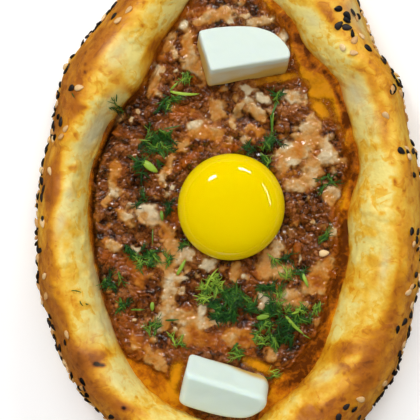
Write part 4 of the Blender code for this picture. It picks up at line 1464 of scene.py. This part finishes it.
def pats() -> tuple[Pat, Pat]:
    """Returns the two pats: one near each end of the filling."""
    top = Pat(
        name="butter_top",
        stands_for="butter_pat_top",
        outline=(
            (-16.4, 9.2, 1.6), (-7.9, 9.2, 3), (0.5, 8.4, 4), (6.7, 6.8, 4), (11.4, 3.5, 4),
            (14.6, -0.8, 3), (15.9, -4.8, 2), (14.9, -7, 1), (-14.9, -7.9, 1.2),
        ),
        middle=(5.8, 53.5, 20.7),
        turned=(-20, 8, 8.7),
        melt=((-11.2, 51, 9, 1.6, 104, 1.1), (14, 45.6, 11, 1.5, 12, 0.8), (19, 47, 4, 1.5, 12, 0.5)),
        # Painted shade: this white is darker than the other pat's, for how the light falls on this pat.
        white=srgb(210, 223, 215),
        # Partly painted shade: the sides' tan stands in for shade and reflected filling as well as melt.
        side_melt_and_shade=0.55,
        softening=0.9 * MM,
    )
    bottom = Pat(
        name="butter_bottom",
        stands_for="butter_pat_bottom",
        outline=(
            (-16.3, 6.8, 1.2), (0, 6.2, 4), (13.6, 5.8, 2), (15.8, 2.6, 2), (15.4, -1.6, 3),
            (10.6, -6.6, 4), (2.6, -9, 4), (-10.2, -9.4, 4), (-15.6, -8.2, 2),
        ),
        middle=(-1.3, -70.2, 20.4),
        turned=(33, 2, -15.5),
        melt=((8.5, -64, 8, 1.9, -22, 0.9), (-18.8, -70, 8, 1, 80, 0.6)),
        # Painted light: this white is lighter than the other pat's, for how the light falls on this pat.
        white=srgb(217, 234, 226),
        side_melt_and_shade=0.06,
        softening=2.5 * MM,
    )
    return top, bottom


# ---- Dill and sesame ----


class Blanket:
    """The height of the food's top on a square lattice over the plan, for loose things to rest on."""

    def __init__(self, cell: float = 1.0 * MM) -> None:
        """Starts an empty lattice over the solids' box.

        Args:
            cell: the lattice's spacing.
        """
        self.cell = cell
        self.corner = np.array(SOLID_BOX[0][:2]) - 4 * cell
        size = (np.array(SOLID_BOX[1][:2]) - self.corner) / cell + 5
        self.tops = np.zeros(size.astype(int))

    def index(self, plan: Array) -> tuple[Array, ...]:
        """Returns the cells that hold these places."""
        cells = ((plan[..., :2] - self.corner) / self.cell).astype(int)
        return tuple(np.moveaxis(np.clip(cells, 0, np.array(self.tops.shape) - 1), -1, 0))

    def cover(self, points: Array) -> None:
        """Raises each cell to the highest of these points in it."""
        np.maximum.at(self.tops, self.index(points), points[:, 2])

    def height(self, plan: Array) -> Array:
        """Returns the mean of the cells at and round each place."""
        steps = np.array(((0, 0), (1, 0), (-1, 0), (0, 1), (0, -1))) * self.cell
        return np.mean([self.tops[self.index(plan + step)] for step in steps], 0)


def joined(shells: Sequence[Shell]) -> Shell:
    """Joins shells.

    Args:
        shells: the points and faces of each.

    Returns:
        All of them as one shell.
    """
    points, *faces = zip(*shells)
    starts = np.cumsum([0, *map(len, points[:-1])])
    quads, triangles = (np.concatenate([part + start for part, start in zip(kind, starts)]) for kind in faces)
    return np.concatenate(points), quads, triangles


@dataclass
class Dill:
    """Chopped dill: feathery sprigs in clumps, and single blades, resting on what lies under them.

    Each clump is its middle, half length and half width in mm, its slant, how many sprigs it has,
    and how light they are, from 0, dark blue-green, to 1, yellow-green. Each blade is its two ends
    and its width in mm, its bend, and how light it is.
    """

    blanket: Blanket
    leaflets: int = 11
    leaflet_length: float = 3.0 * MM
    leaflet_radius: float = 0.16 * MM
    leaflet_steps: int = 6
    stem_length: float = 5.0 * MM
    stem_radius: float = 0.22 * MM
    stem_steps: int = 7
    blade_steps: int = 8
    blade_lift: float = 0.8 * MM
    seed: int = 401
    greens: Table = ((0.0, 10, 46, 16), (0.45, 44, 100, 22), (1.0, 160, 190, 56))
    clumps: Table = (
        (-41.8, 33.5, 0.8, 1.6, 0, 2, 0.25), (-23.3, 36.5, 4.6, 2.6, -10, 8, 0.35),
        (-17, 44, 2.8, 2.2, 30, 4, 0.65), (-25.5, 21.3, 7.5, 4.2, 33, 30, 0.25),
        (-33.9, 12.4, 3.6, 3.2, 0, 9, 0.15), (18.1, 37.6, 1.8, 2.2, 0, 4, 0.45),
        (16.3, 21.3, 3, 2.4, 0, 8, 0.35), (7.8, 18, 2.8, 1.5, -10, 4, 0.1),
        (13.7, 13.8, 3, 1.6, -35, 5, 0.45), (36.5, 6.9, 2.2, 2.8, 30, 4, 0.3),
        (-34.2, -0.1, 1.9, 1.5, 0, 3, 0.2), (-22.3, -3, 2.2, 1.7, 0, 4, 0.05),
        (-16.6, -16.4, 1.8, 1.6, 0, 2, 0.4), (-28.9, -20.5, 4.6, 3, 0, 10, 0.45),
        (-37.9, -19.7, 2.2, 2, 0, 4, 0.25), (-32.7, -23.8, 3.8, 1.8, -20, 5, 0.4),
        (-44.1, -31.1, 2.4, 2.8, 0, 7, 0.2), (-22.3, -22.6, 2.6, 1.4, -30, 3, 0.45),
        (-39.6, -39.7, 2.8, 1.3, -10, 4, 0.3), (-28, -48.2, 2.3, 2.6, -40, 5, 0.45),
        (-18.7, -52.1, 2.4, 2, 40, 3, 0.7), (-0.6, -39.2, 5.4, 5.8, 0, 38, 0.22),
        (-5.8, -33.1, 3.2, 3.8, 0, 14, 0.75), (-8.9, -36.4, 2.4, 2.2, 0, 5, 0.8),
        (3.1, -34.9, 2.8, 2.8, 0, 8, 0.35), (-3.1, -42.9, 3.8, 2.2, 0, 8, 0.1),
        (7.4, -39.8, 3.2, 3.2, 0, 7, 0.4), (15.9, -33.4, 4.2, 1.9, 0, 9, 0.15),
        (17.8, -38, 2.2, 3, 0, 6, 0.5), (16.8, -41.9, 3.8, 2.2, 0, 9, 0.3),
        (25.2, -42.3, 3.8, 2.8, 0, 10, 0.5), (26, -46, 3.4, 2.4, 0, 8, 0.4),
        (21.5, -47.5, 4, 3, 0, 12, 0.12), (13.8, -47.2, 2.8, 3.8, 0, 10, 0.45),
        (18.7, -51.5, 4, 2.4, 0, 9, 0.15), (12, -52.1, 3, 1.7, 0, 5, 0.65),
        (16.8, -54.5, 2.6, 2.2, 0, 4, 0.4), (33.4, -40.8, 2.2, 1.3, 20, 3, 0.75),
        (21.7, -28.6, 3, 1.8, 0, 3, 0.75), (15.6, -22, 2.2, 2.8, 30, 2, 0.6),
        (20.8, -22, 1.9, 1.3, 0, 3, 0.1), (26, -27.5, 1.2, 2, 0, 3, 0.25),
        (2.9, -56.7, 2.8, 1.7, -20, 6, 0.5), (15.5, -65, 2.2, 1.3, -30, 3, 0.8),
        (35.5, -14.2, 1.6, 1.6, 0, 3, 0.35),
    )
    blades: Table = (
        (-21.9, 40, -11, 38.7, 1.2, 0.5, 0.95), (-21.9, 40.6, -19, 43.4, 0.8, 0.2, 0.75),
        (-33.6, 22.1, -28.4, 21.8, 0.5, 0.6, 0.7), (-24.2, 26, -17.8, 27.3, 0.5, 0.3, 0.45),
        (-31.9, 13.9, -26.7, 9.9, 2.8, 0.1, 0.9), (18.3, 36.4, 15.3, 29.5, 0.7, 0.3, 0.45),
        (15.4, 31, 15.8, 23, 0.7, -0.4, 0.55), (16.6, 32, 16.2, 24.5, 0.5, 0.3, 0.75),
        (21, -43.4, 27.6, -50.6, 1.3, 0.3, 0.8), (27.6, -50.6, 30.7, -52.5, 0.4, 0.1, 0.7),
        (15.6, -50.5, 18.7, -55.8, 1.2, 0.2, 0.6), (10.4, -44.5, 15.4, -43.5, 1.9, 0.1, 0.75),
        (-8.9, -34.9, -4.3, -25.4, 0.8, -0.7, 0.95), (-19.4, -28.3, -16.1, -22.5, 1.4, 0.1, 0.85),
        (-25.2, -4.6, -24.8, -8.3, 1.3, 0.1, 0.7), (27.3, -27.5, 29.5, -33.1, 1.3, 0.1, 0.85),
        (-28.4, -11.3, -28.5, -17.5, 0.45, 0.1, 0.6), (-36.6, -41.5, -31.4, -41.2, 0.7, -0.2, 0.6),
        (-23.7, -45.3, -18.7, -45.1, 0.7, 0.1, 0.35), (-28.6, -38.6, -28.6, -41.9, 1.6, 0.1, 0.8),
        (-57.6, -33.6, -54, -34.2, 0.4, -0.7, 0.4), (-54.6, -37.4, -53.4, -39.4, 0.4, 0.2, 0.2),
        (-52.6, -38.4, -51.6, -38.8, 0.5, 0.1, 0.2), (-57.6, 38.6, -56.4, 36.6, 0.4, 0.1, 0.3),
        (-41.6, 35.6, -41.2, 38.2, 0.5, 0.4, 0.35),
    )

    def material(self) -> bpy.types.Material:
        """Returns the finish: leaf green by the points' "tone", moist."""
        paint = Paint("dill")
        colour = paint.ramp(paint.field("tone") + (paint.noise(2 * MM) - 0.5) * 0.3, self.greens)
        return paint.finish(Base_Color=colour, Roughness=0.42, Coat_Weight=0.2, Coat_Roughness=0.2)

    def rested(self, plan: Array, radius: float | Array, lift: Array) -> Array:
        """Raises paths on the plan to rest on the food.

        Args:
            plan: the paths.
            radius: how far their middles lie over the food.
            lift: how far each bows up halfway.

        Returns:
            The raised paths.
        """
        ground = self.blanket.height(plan)
        steps = plan.shape[1]
        smooth = np.stack([ground[:, max(i - 1, 0) : i + 2].mean(1) for i in range(steps)], 1)
        bow = np.sin(np.linspace(0, math.pi, steps)) * lift[:, None]
        return lifted(plan, smooth + radius + bow)

    def arcs(self, start: Array, heading: Array, length: Array, bend: Array, steps: int) -> Array:
        """Draws paths on the plan that turn steadily.

        Args:
            start: where each starts.
            heading: the direction in which it starts.
            length: its length.
            bend: how far it turns in all.
            steps: how many points it has.

        Returns:
            The paths.
        """
        angle = heading[:, None] + bend[:, None] * np.linspace(0, 1, steps)
        step = np.stack((np.cos(angle), np.sin(angle)), -1) * (length / (steps - 1))[:, None, None]
        return start[:, None] + np.cumsum(step, 1) - step[:, :1]

    def stems(self, sprigs: Array, chance: np.random.Generator) -> tuple[Array, Array, Array]:
        """Lays one bent stem for each sprig, its middle somewhere in the sprig's clump.

        Args:
            sprigs: each sprig's clump, one row each.
            chance: gives the random places and turns.

        Returns:
            The stems' paths, headings and bends.
        """
        count, slant = len(sprigs), np.radians(sprigs[:, 4])
        off = chance.normal(0, 0.5, (count, 2)) * sprigs[:, 2:4]
        east = off[:, 0] * np.cos(slant) - off[:, 1] * np.sin(slant)
        north = off[:, 0] * np.sin(slant) + off[:, 1] * np.cos(slant)
        middle = (sprigs[:, :2] + np.stack((east, north), -1)) * MM
        heading = chance.uniform(0, 2 * math.pi, count)
        length = self.stem_length * chance.uniform(0.45, 1.1, count)
        bend = chance.uniform(-1.4, 1.4, count)
        lift = chance.uniform(0.1, 1.4, count) * MM
        back = np.stack((np.cos(heading), np.sin(heading)), -1) * length[:, None] / 2
        arcs = self.arcs(middle - back, heading, length, bend, self.stem_steps)
        return self.rested(arcs, self.stem_radius, lift), heading, bend

    def leaves(self, stems: Array, heading: Array, bend: Array, chance: np.random.Generator) -> Array:
        """Lays leaflets that leave each stem to both sides in turn, their feet on it.

        Args:
            stems: the stems' paths.
            heading: the stems' headings.
            bend: the stems' bends.
            chance: gives the random lengths and turns.

        Returns:
            The leaflets' paths.
        """
        owner = np.repeat(np.arange(len(stems)), self.leaflets)
        count, last = len(owner), self.stem_steps - 1
        share = np.tile(np.linspace(0.08, 1, self.leaflets), len(stems)) * (last - MM)
        low = share.astype(int)
        part = (share - low)[:, None]
        foot = stems[owner, low] * (1 - part) + stems[owner, low + 1] * part
        side = np.where(np.arange(count) % 2, 1, -1)
        away = heading[owner] + bend[owner] * share / last + side * chance.uniform(0.4, 1.25, count)
        length = self.leaflet_length * chance.uniform(0.45, 1.0, count)
        turn = -side * chance.uniform(-0.2, 1.5, count)
        arcs = self.arcs(foot[:, :2], away, length, turn, self.leaflet_steps)
        paths = self.rested(arcs, self.leaflet_radius, chance.uniform(0, 0.6, count) * MM)
        climb = np.linspace(1, 0.1, self.leaflet_steps)
        level = paths[..., 2]
        paths[..., 2] = np.maximum(level, foot[:, 2:3] * climb + level * (1 - climb))
        return paths

    def single_blades(self) -> tuple[Array, Array, Array]:
        """Returns the blades' paths, radii and tones."""
        start, end = (np.array(self.blades)[:, at : at + 2] * MM for at in (0, 2))
        width, bend, tone = np.array(self.blades)[:, 4:].T
        gap, radius = end - start, width / 2 * MM
        heading = np.arctan2(gap[:, 1], gap[:, 0]) - bend / 2
        arcs = self.arcs(start, heading, np.linalg.norm(gap, axis=1), bend, self.blade_steps)
        lift = np.full(len(gap), self.blade_lift)
        return self.rested(arcs, radius[:, None] / 2, lift), radius, tone

    def build(self) -> bpy.types.Object:
        """Builds the dill as tubes whose radius swells a little from the foot and tapers to the tip."""
        chance = np.random.default_rng(self.seed)
        sprigs = np.array([clump for clump in self.clumps for _ in range(clump[5])])
        stems, heading, bend = self.stems(sprigs, chance)
        leaves = self.leaves(stems, heading, bend, chance)
        blades, blade_radii, blade_tones = self.single_blades()
        tones = np.clip(sprigs[:, 6] + chance.normal(0, 0.14, len(stems)), 0, 1)
        leaf_tones = np.repeat(tones, self.leaflets) + chance.normal(0, 0.12, len(leaves))
        leaf_radii = self.leaflet_radius * chance.uniform(0.7, 1.2, len(leaves))
        groups = (
            (stems, np.full(len(stems), self.stem_radius), 4, 1.0, tones + 0.15),
            (leaves, leaf_radii, 4, 0.8, np.clip(leaf_tones, 0, 1)),
            (blades, blade_radii, 8, 0.3, blade_tones),
        )
        shells, fields = [], []
        for paths, radii, sides, flat, tone in groups:
            steps = paths.shape[1]
            taper = np.sin(np.linspace(0.5, math.pi - 0.12, steps)) ** 0.7
            shells.append(closed_shell(tubes(paths, radii[:, None] * taper, sides, flat)))
            fields.append(np.repeat(tone, steps * sides + 2))
        return add_piece("dill", joined(shells), self.material(), {"tone": np.concatenate(fields)})


# Black seeds that stand out on the plan, in mm.
SINGLE_SEEDS: Table = (
    (40.3, 70), (45.5, 69.1), (43.2, 67.6), (43.4, 65.7), (47.5, 67.6), (40.6, 64.3), (43.2, 63.3),
    (45.6, 60.9), (51, 55.6), (55.1, 55.7), (56.7, 50.6), (58, 52), (60.3, 47.2), (60.6, 45.4),
    (62.1, 43.2), (61, 41.3), (-68.3, 20), (-69.6, 13.2), (-68.9, 9.9), (-69, 6.9), (-68.5, 3.8),
    (-69.2, 0.6), (-71.8, -2.7), (-68.9, -8.1), (-71.5, -12.7), (-62.4, -55.3), (-59.6, -61.9),
    (-57.8, -65.1), (-55.2, -69.9), (-54.1, -67.5), (-52.4, -72.8), (-48.5, -78.2), (-43.7, -80.8),
    (69.5, -12), (67.5, -12.5), (69.1, -15.7), (69.5, -19), (70.1, -21.6), (69, -28.3), (69.9, -31.6),
    (67.7, -32.7), (69.3, -37.1), (67.1, -42.7), (64.7, -45.6), (66.2, -49.7), (64.3, -54.2), (62.9, -57.5),
    (63.4, -59.7), (59.9, -67.1), (56.9, -72.7), (55.4, -74.5), (56.9, -76), (42.9, -77.1), (46.4, -77.8),
    (-58.5, 40.9), (-42.6, 67.2), (-42, 71.5), (-45.7, 69.2), (-48.6, 66.4), (-49.3, 63.8), (-52.3, 61.7),
    (-52.9, 61), (-55, 58), (-57.5, 53), (-59.5, 48.7), (-62.8, 42.2), (-63.8, 38.8), (-64.7, 33.3),
    (-65.6, 31.6), (-63, 30), (-62.3, 28.3), (-64.8, 27.2), (-71.5, 1), (-73, -18.5), (-69.6, -19),
    (-72, -24), (-70.3, -28), (-71.8, -31), (-72.8, -29), (-66.3, -46), (-64.3, -51), (-63.5, -54.5),
    (-62, -57.5), (68, 20.7), (67.8, 17.5), (68.2, 9), (62, -48.5), (48, -81),
)

# White seeds that stand out on the plan, in mm.
PALE_SEEDS: Table = (
    (41.8, 56.1), (46.2, 58.5), (48.8, 60), (46, 53.7), (60.1, 40.2), (63.2, 39.1), (-62.2, 22.8),
    (-60.4, 26.1), (-66.3, 9.9), (-54.4, -70.1), (-65, 24), (47, 66.5), (65.5, 18.5), (66.7, 15.5),
    (68.3, -17), (66, -34.8), (67.3, -39), (67, -45), (57.5, -68.5), (48.5, -74.5), (-64.8, 22), (-71, -9),
    (-70.6, -22), (-69, -37), (-65.6, -48.5), (-58, -66.5), (-50, -76),
)


@dataclass
class Sesame:
    """Sesame seeds of one colour pressed into the crust: thick on the side wall, a few higher up.

    The singles' places are in mm, as the plan looks from the view height over the view level. After
    them comes a crowd of this count at random, and the fallen seeds lie on the filling.
    """

    name: str
    slot: Slot
    crust: Crust
    singles: Table
    count: int
    colours: tuple[Colour, Colour]
    seed: int
    fallen: Table = ()
    size: tuple[float, float, float] = (3.8 * MM, 2.4 * MM, 1.1 * MM)
    rows: int = 7
    columns: int = 8
    view_level: float = 22 * MM
    view_height: float = 0.56

    def material(self) -> bpy.types.Material:
        """Returns the finish, between the two colours by the points' "tone"."""
        paint = Paint(self.name)
        tone = paint.field("tone") + (paint.noise(1.2 * MM) - 0.5) * 0.4
        return paint.finish(Base_Color=paint.mix(tone.eased(0.0, 1.0), *self.colours), Roughness=0.5)

    def drop(self) -> Array:
        """Returns one seed: a ball drawn out to a drop, broad at one end and pointed at the other."""
        turned = np.roll(ball(self.rows, self.columns), 1, -1)
        taper = 1 - 0.38 * turned[..., :1] - 0.12 * turned[..., :1] ** 2
        return turned * np.concatenate((np.ones_like(taper), taper, taper), -1) * np.array(self.size) / 2

    def seats(self, chance: np.random.Generator) -> tuple[Array, Array]:
        """Finds the points of the crust's skin where the seeds sit, the singles first.

        Args:
            chance: gives the random places.

        Returns:
            The points' rows and columns.
        """
        skin = self.crust.skin
        rows, columns = skin.shape[:2]
        upper = int(0.26 * rows)
        seen = 1 + (skin[upper:, :, 2:] - self.view_level) / self.view_height
        flat = (skin[upper:, :, :2] * seen).reshape(-1, 2)
        nearest = np.array([np.argmin(((flat - place) ** 2).sum(1)) for place in np.array(self.singles) * MM])
        crowd = chance.beta(1.5, 1.6, self.count) * 0.34 + 0.03
        stray = chance.uniform(0, 1, self.count) < 0.05
        crowd = np.where(stray, chance.uniform(0.4, 0.62, self.count), crowd)
        row = np.concatenate((nearest // columns + upper, (crowd * rows).astype(int)))
        return row, np.concatenate((nearest % columns, chance.integers(0, columns, self.count)))

    def build(self) -> bpy.types.Object:
        """Builds the seeds, each lying flat on the skin under it and turned at random."""
        chance = np.random.default_rng(self.seed)
        row, column = self.seats(chance)
        total, cells = len(row), self.rows * self.columns + 2
        out = normals_of(self.crust.skin)[row, column]
        local = self.drop() * chance.uniform(0.82, 1.08, (total, 1, 1, 1))
        up = out + chance.normal(0, 0.22, (total, 3))
        heading = chance.normal(size=(total, 3))
        middles = self.crust.skin[row, column] + out * self.size[2] * 0.22
        if self.fallen:
            last = len(self.fallen)
            up[-last:], heading[-last:], middles[-last:] = UP, (1, 0.1, 0), self.fallen
        shell = closed_shell(placed(local, up, heading, middles))
        shell[0][:, 2] = np.maximum(shell[0][:, 2], 0)
        tones = np.repeat(chance.uniform(0, 1, total), cells)
        return add_piece(self.name, shell, self.material(), {"tone": tones})


def sesame(crust: Crust, blanket: Blanket) -> tuple[Sesame, Sesame]:
    """Chooses the seeds.

    Args:
        crust: what they are pressed into.
        blanket: what the fallen one lies on.

    Returns:
        The black seeds and the white ones, of which one fell on the filling.
    """
    place = np.array((35.5, -20.3)) * MM
    level = float(blanket.height(place))
    coal = (srgb(14, 12, 14), srgb(44, 36, 34))
    straw = (srgb(236, 204, 150), srgb(206, 156, 92))
    black = Sesame("seeds_black", Slot.BLACK_SESAME, crust, SINGLE_SEEDS, 230, coal, 501)
    white = Sesame("seeds_white", Slot.WHITE_SESAME, crust, PALE_SEEDS, 280, straw, 601, ((*place, level),))
    return black, white


# ---- Floor, light and camera ----


@dataclass(frozen=True)
class Lamp:
    """A soft rectangular lamp: where it stands, how big it is and how strong, all aimed at the food."""

    name: str
    place: tuple[float, float, float]
    size: tuple[float, float]
    watts: float
    mirrored: bool = True

    def build(self) -> None:
        """Adds the lamp, turned so that it shines at the middle of the food."""
        light = bpy.data.lights.new(self.name, "AREA")
        light.shape = "RECTANGLE"
        light.size, light.size_y = self.size
        light.energy = self.watts
        made = bpy.data.objects.new(self.name, light)
        made.visible_glossy = self.mirrored
        aim = mathutils.Vector((0, 0, 0.02)) - mathutils.Vector(self.place)
        made.rotation_euler = aim.to_track_quat("-Z", "Y").to_euler()
        made.location = self.place
        bpy.context.scene.collection.objects.link(made)


@dataclass(frozen=True)
class Studio:
    """A white table under soft lamps, and a camera that looks straight down on the food."""

    middle: tuple[float, float] = (-7.1 * MM, -4.2 * MM)
    level: float = 22 * MM
    view_width: float = 155.4 * MM
    distance: float = 0.56
    sensor: float = 36.0
    half_table: float = 3.0
    sky: float = 0.26
    lamps: tuple[Lamp, ...] = (
        Lamp("key", (-0.25, 0.70, 1.15), (1.6, 1.2), 11.4, False),
        Lamp("window_left", (-0.38, 0.60, 0.74), (0.19, 0.12), 1.75),
        Lamp("window_right", (0.30, 0.79, 0.55), (0.28, 0.10), 2.2),
        Lamp("strip_right", (0.77, 0.28, 0.60), (0.5, 0.05), 0.94),
        Lamp("fill", (-0.3, -0.7, 1.1), (1.6, 1.2), 5.0, False),
    )

    def build_table(self) -> None:
        """Builds the table, which glows a little so that it stays white."""
        half = self.half_table
        corners = ((-half, -half, 0), (half, -half, 0), (half, half, 0), (-half, half, 0))
        mesh = bpy.data.meshes.new("table")
        mesh.from_pydata(corners, [], [(0, 1, 2, 3)])
        glow = {"Emission_Color": (1, 1, 1), "Emission_Strength": 0.12}
        white = Paint("white_table").finish(Base_Color=(0.94, 0.94, 0.94), Roughness=0.7, **glow)
        mesh.materials.append(white)
        table = bpy.data.objects.new("table", mesh)
        table.visible_glossy = False
        bpy.context.scene.collection.objects.link(table)

    def build_sky(self) -> None:
        """Builds an even white sky that gloss doesn't mirror."""
        world = bpy.data.worlds.new("studio")
        bpy.context.scene.world = world
        world.use_nodes = True
        world.cycles_visibility.glossy = False
        sky = world.node_tree.nodes["Background"]
        sky.inputs["Color"].default_value = (1, 1, 1, 1)
        sky.inputs["Strength"].default_value = self.sky

    def build_camera(self) -> None:
        """Builds the camera, whose lens shows the view width at the rim's level."""
        lens = bpy.data.cameras.new("camera")
        lens.sensor_width = self.sensor
        lens.lens = self.sensor * self.distance / self.view_width
        lens.clip_start = 0.01
        camera = bpy.data.objects.new("camera", lens)
        camera.location = (*self.middle, self.level + self.distance)
        bpy.context.scene.collection.objects.link(camera)
        bpy.context.scene.camera = camera
        bpy.context.scene.view_settings.view_transform = "Standard"

    def build(self) -> None:
        """Builds the table, the lamps, the sky and the camera."""
        self.build_table()
        for lamp in self.lamps:
            lamp.build()
        self.build_sky()
        self.build_camera()


def main() -> None:
    """Builds the khachapuri and its studio, piece by piece."""
    logging.basicConfig(level=logging.INFO, format="%(message)s")
    LOG.info("khachapuri: %d solids in the frame", len(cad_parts))
    boat = Boat()
    crust = Crust(boat)
    crust.build()
    filling = Filling(boat, Ground(Wall(boat)))
    filling.build()
    Yolk().build()
    for pat in pats():
        pat.build()
    blanket = Blanket()
    for points in (crust.skin.reshape(-1, 3), *filling.points):
        blanket.cover(points)
    Dill(blanket).build()
    for seeds in sesame(crust, blanket):
        seeds.build()
    Studio().build()


if __name__ == "__main__":
    main()
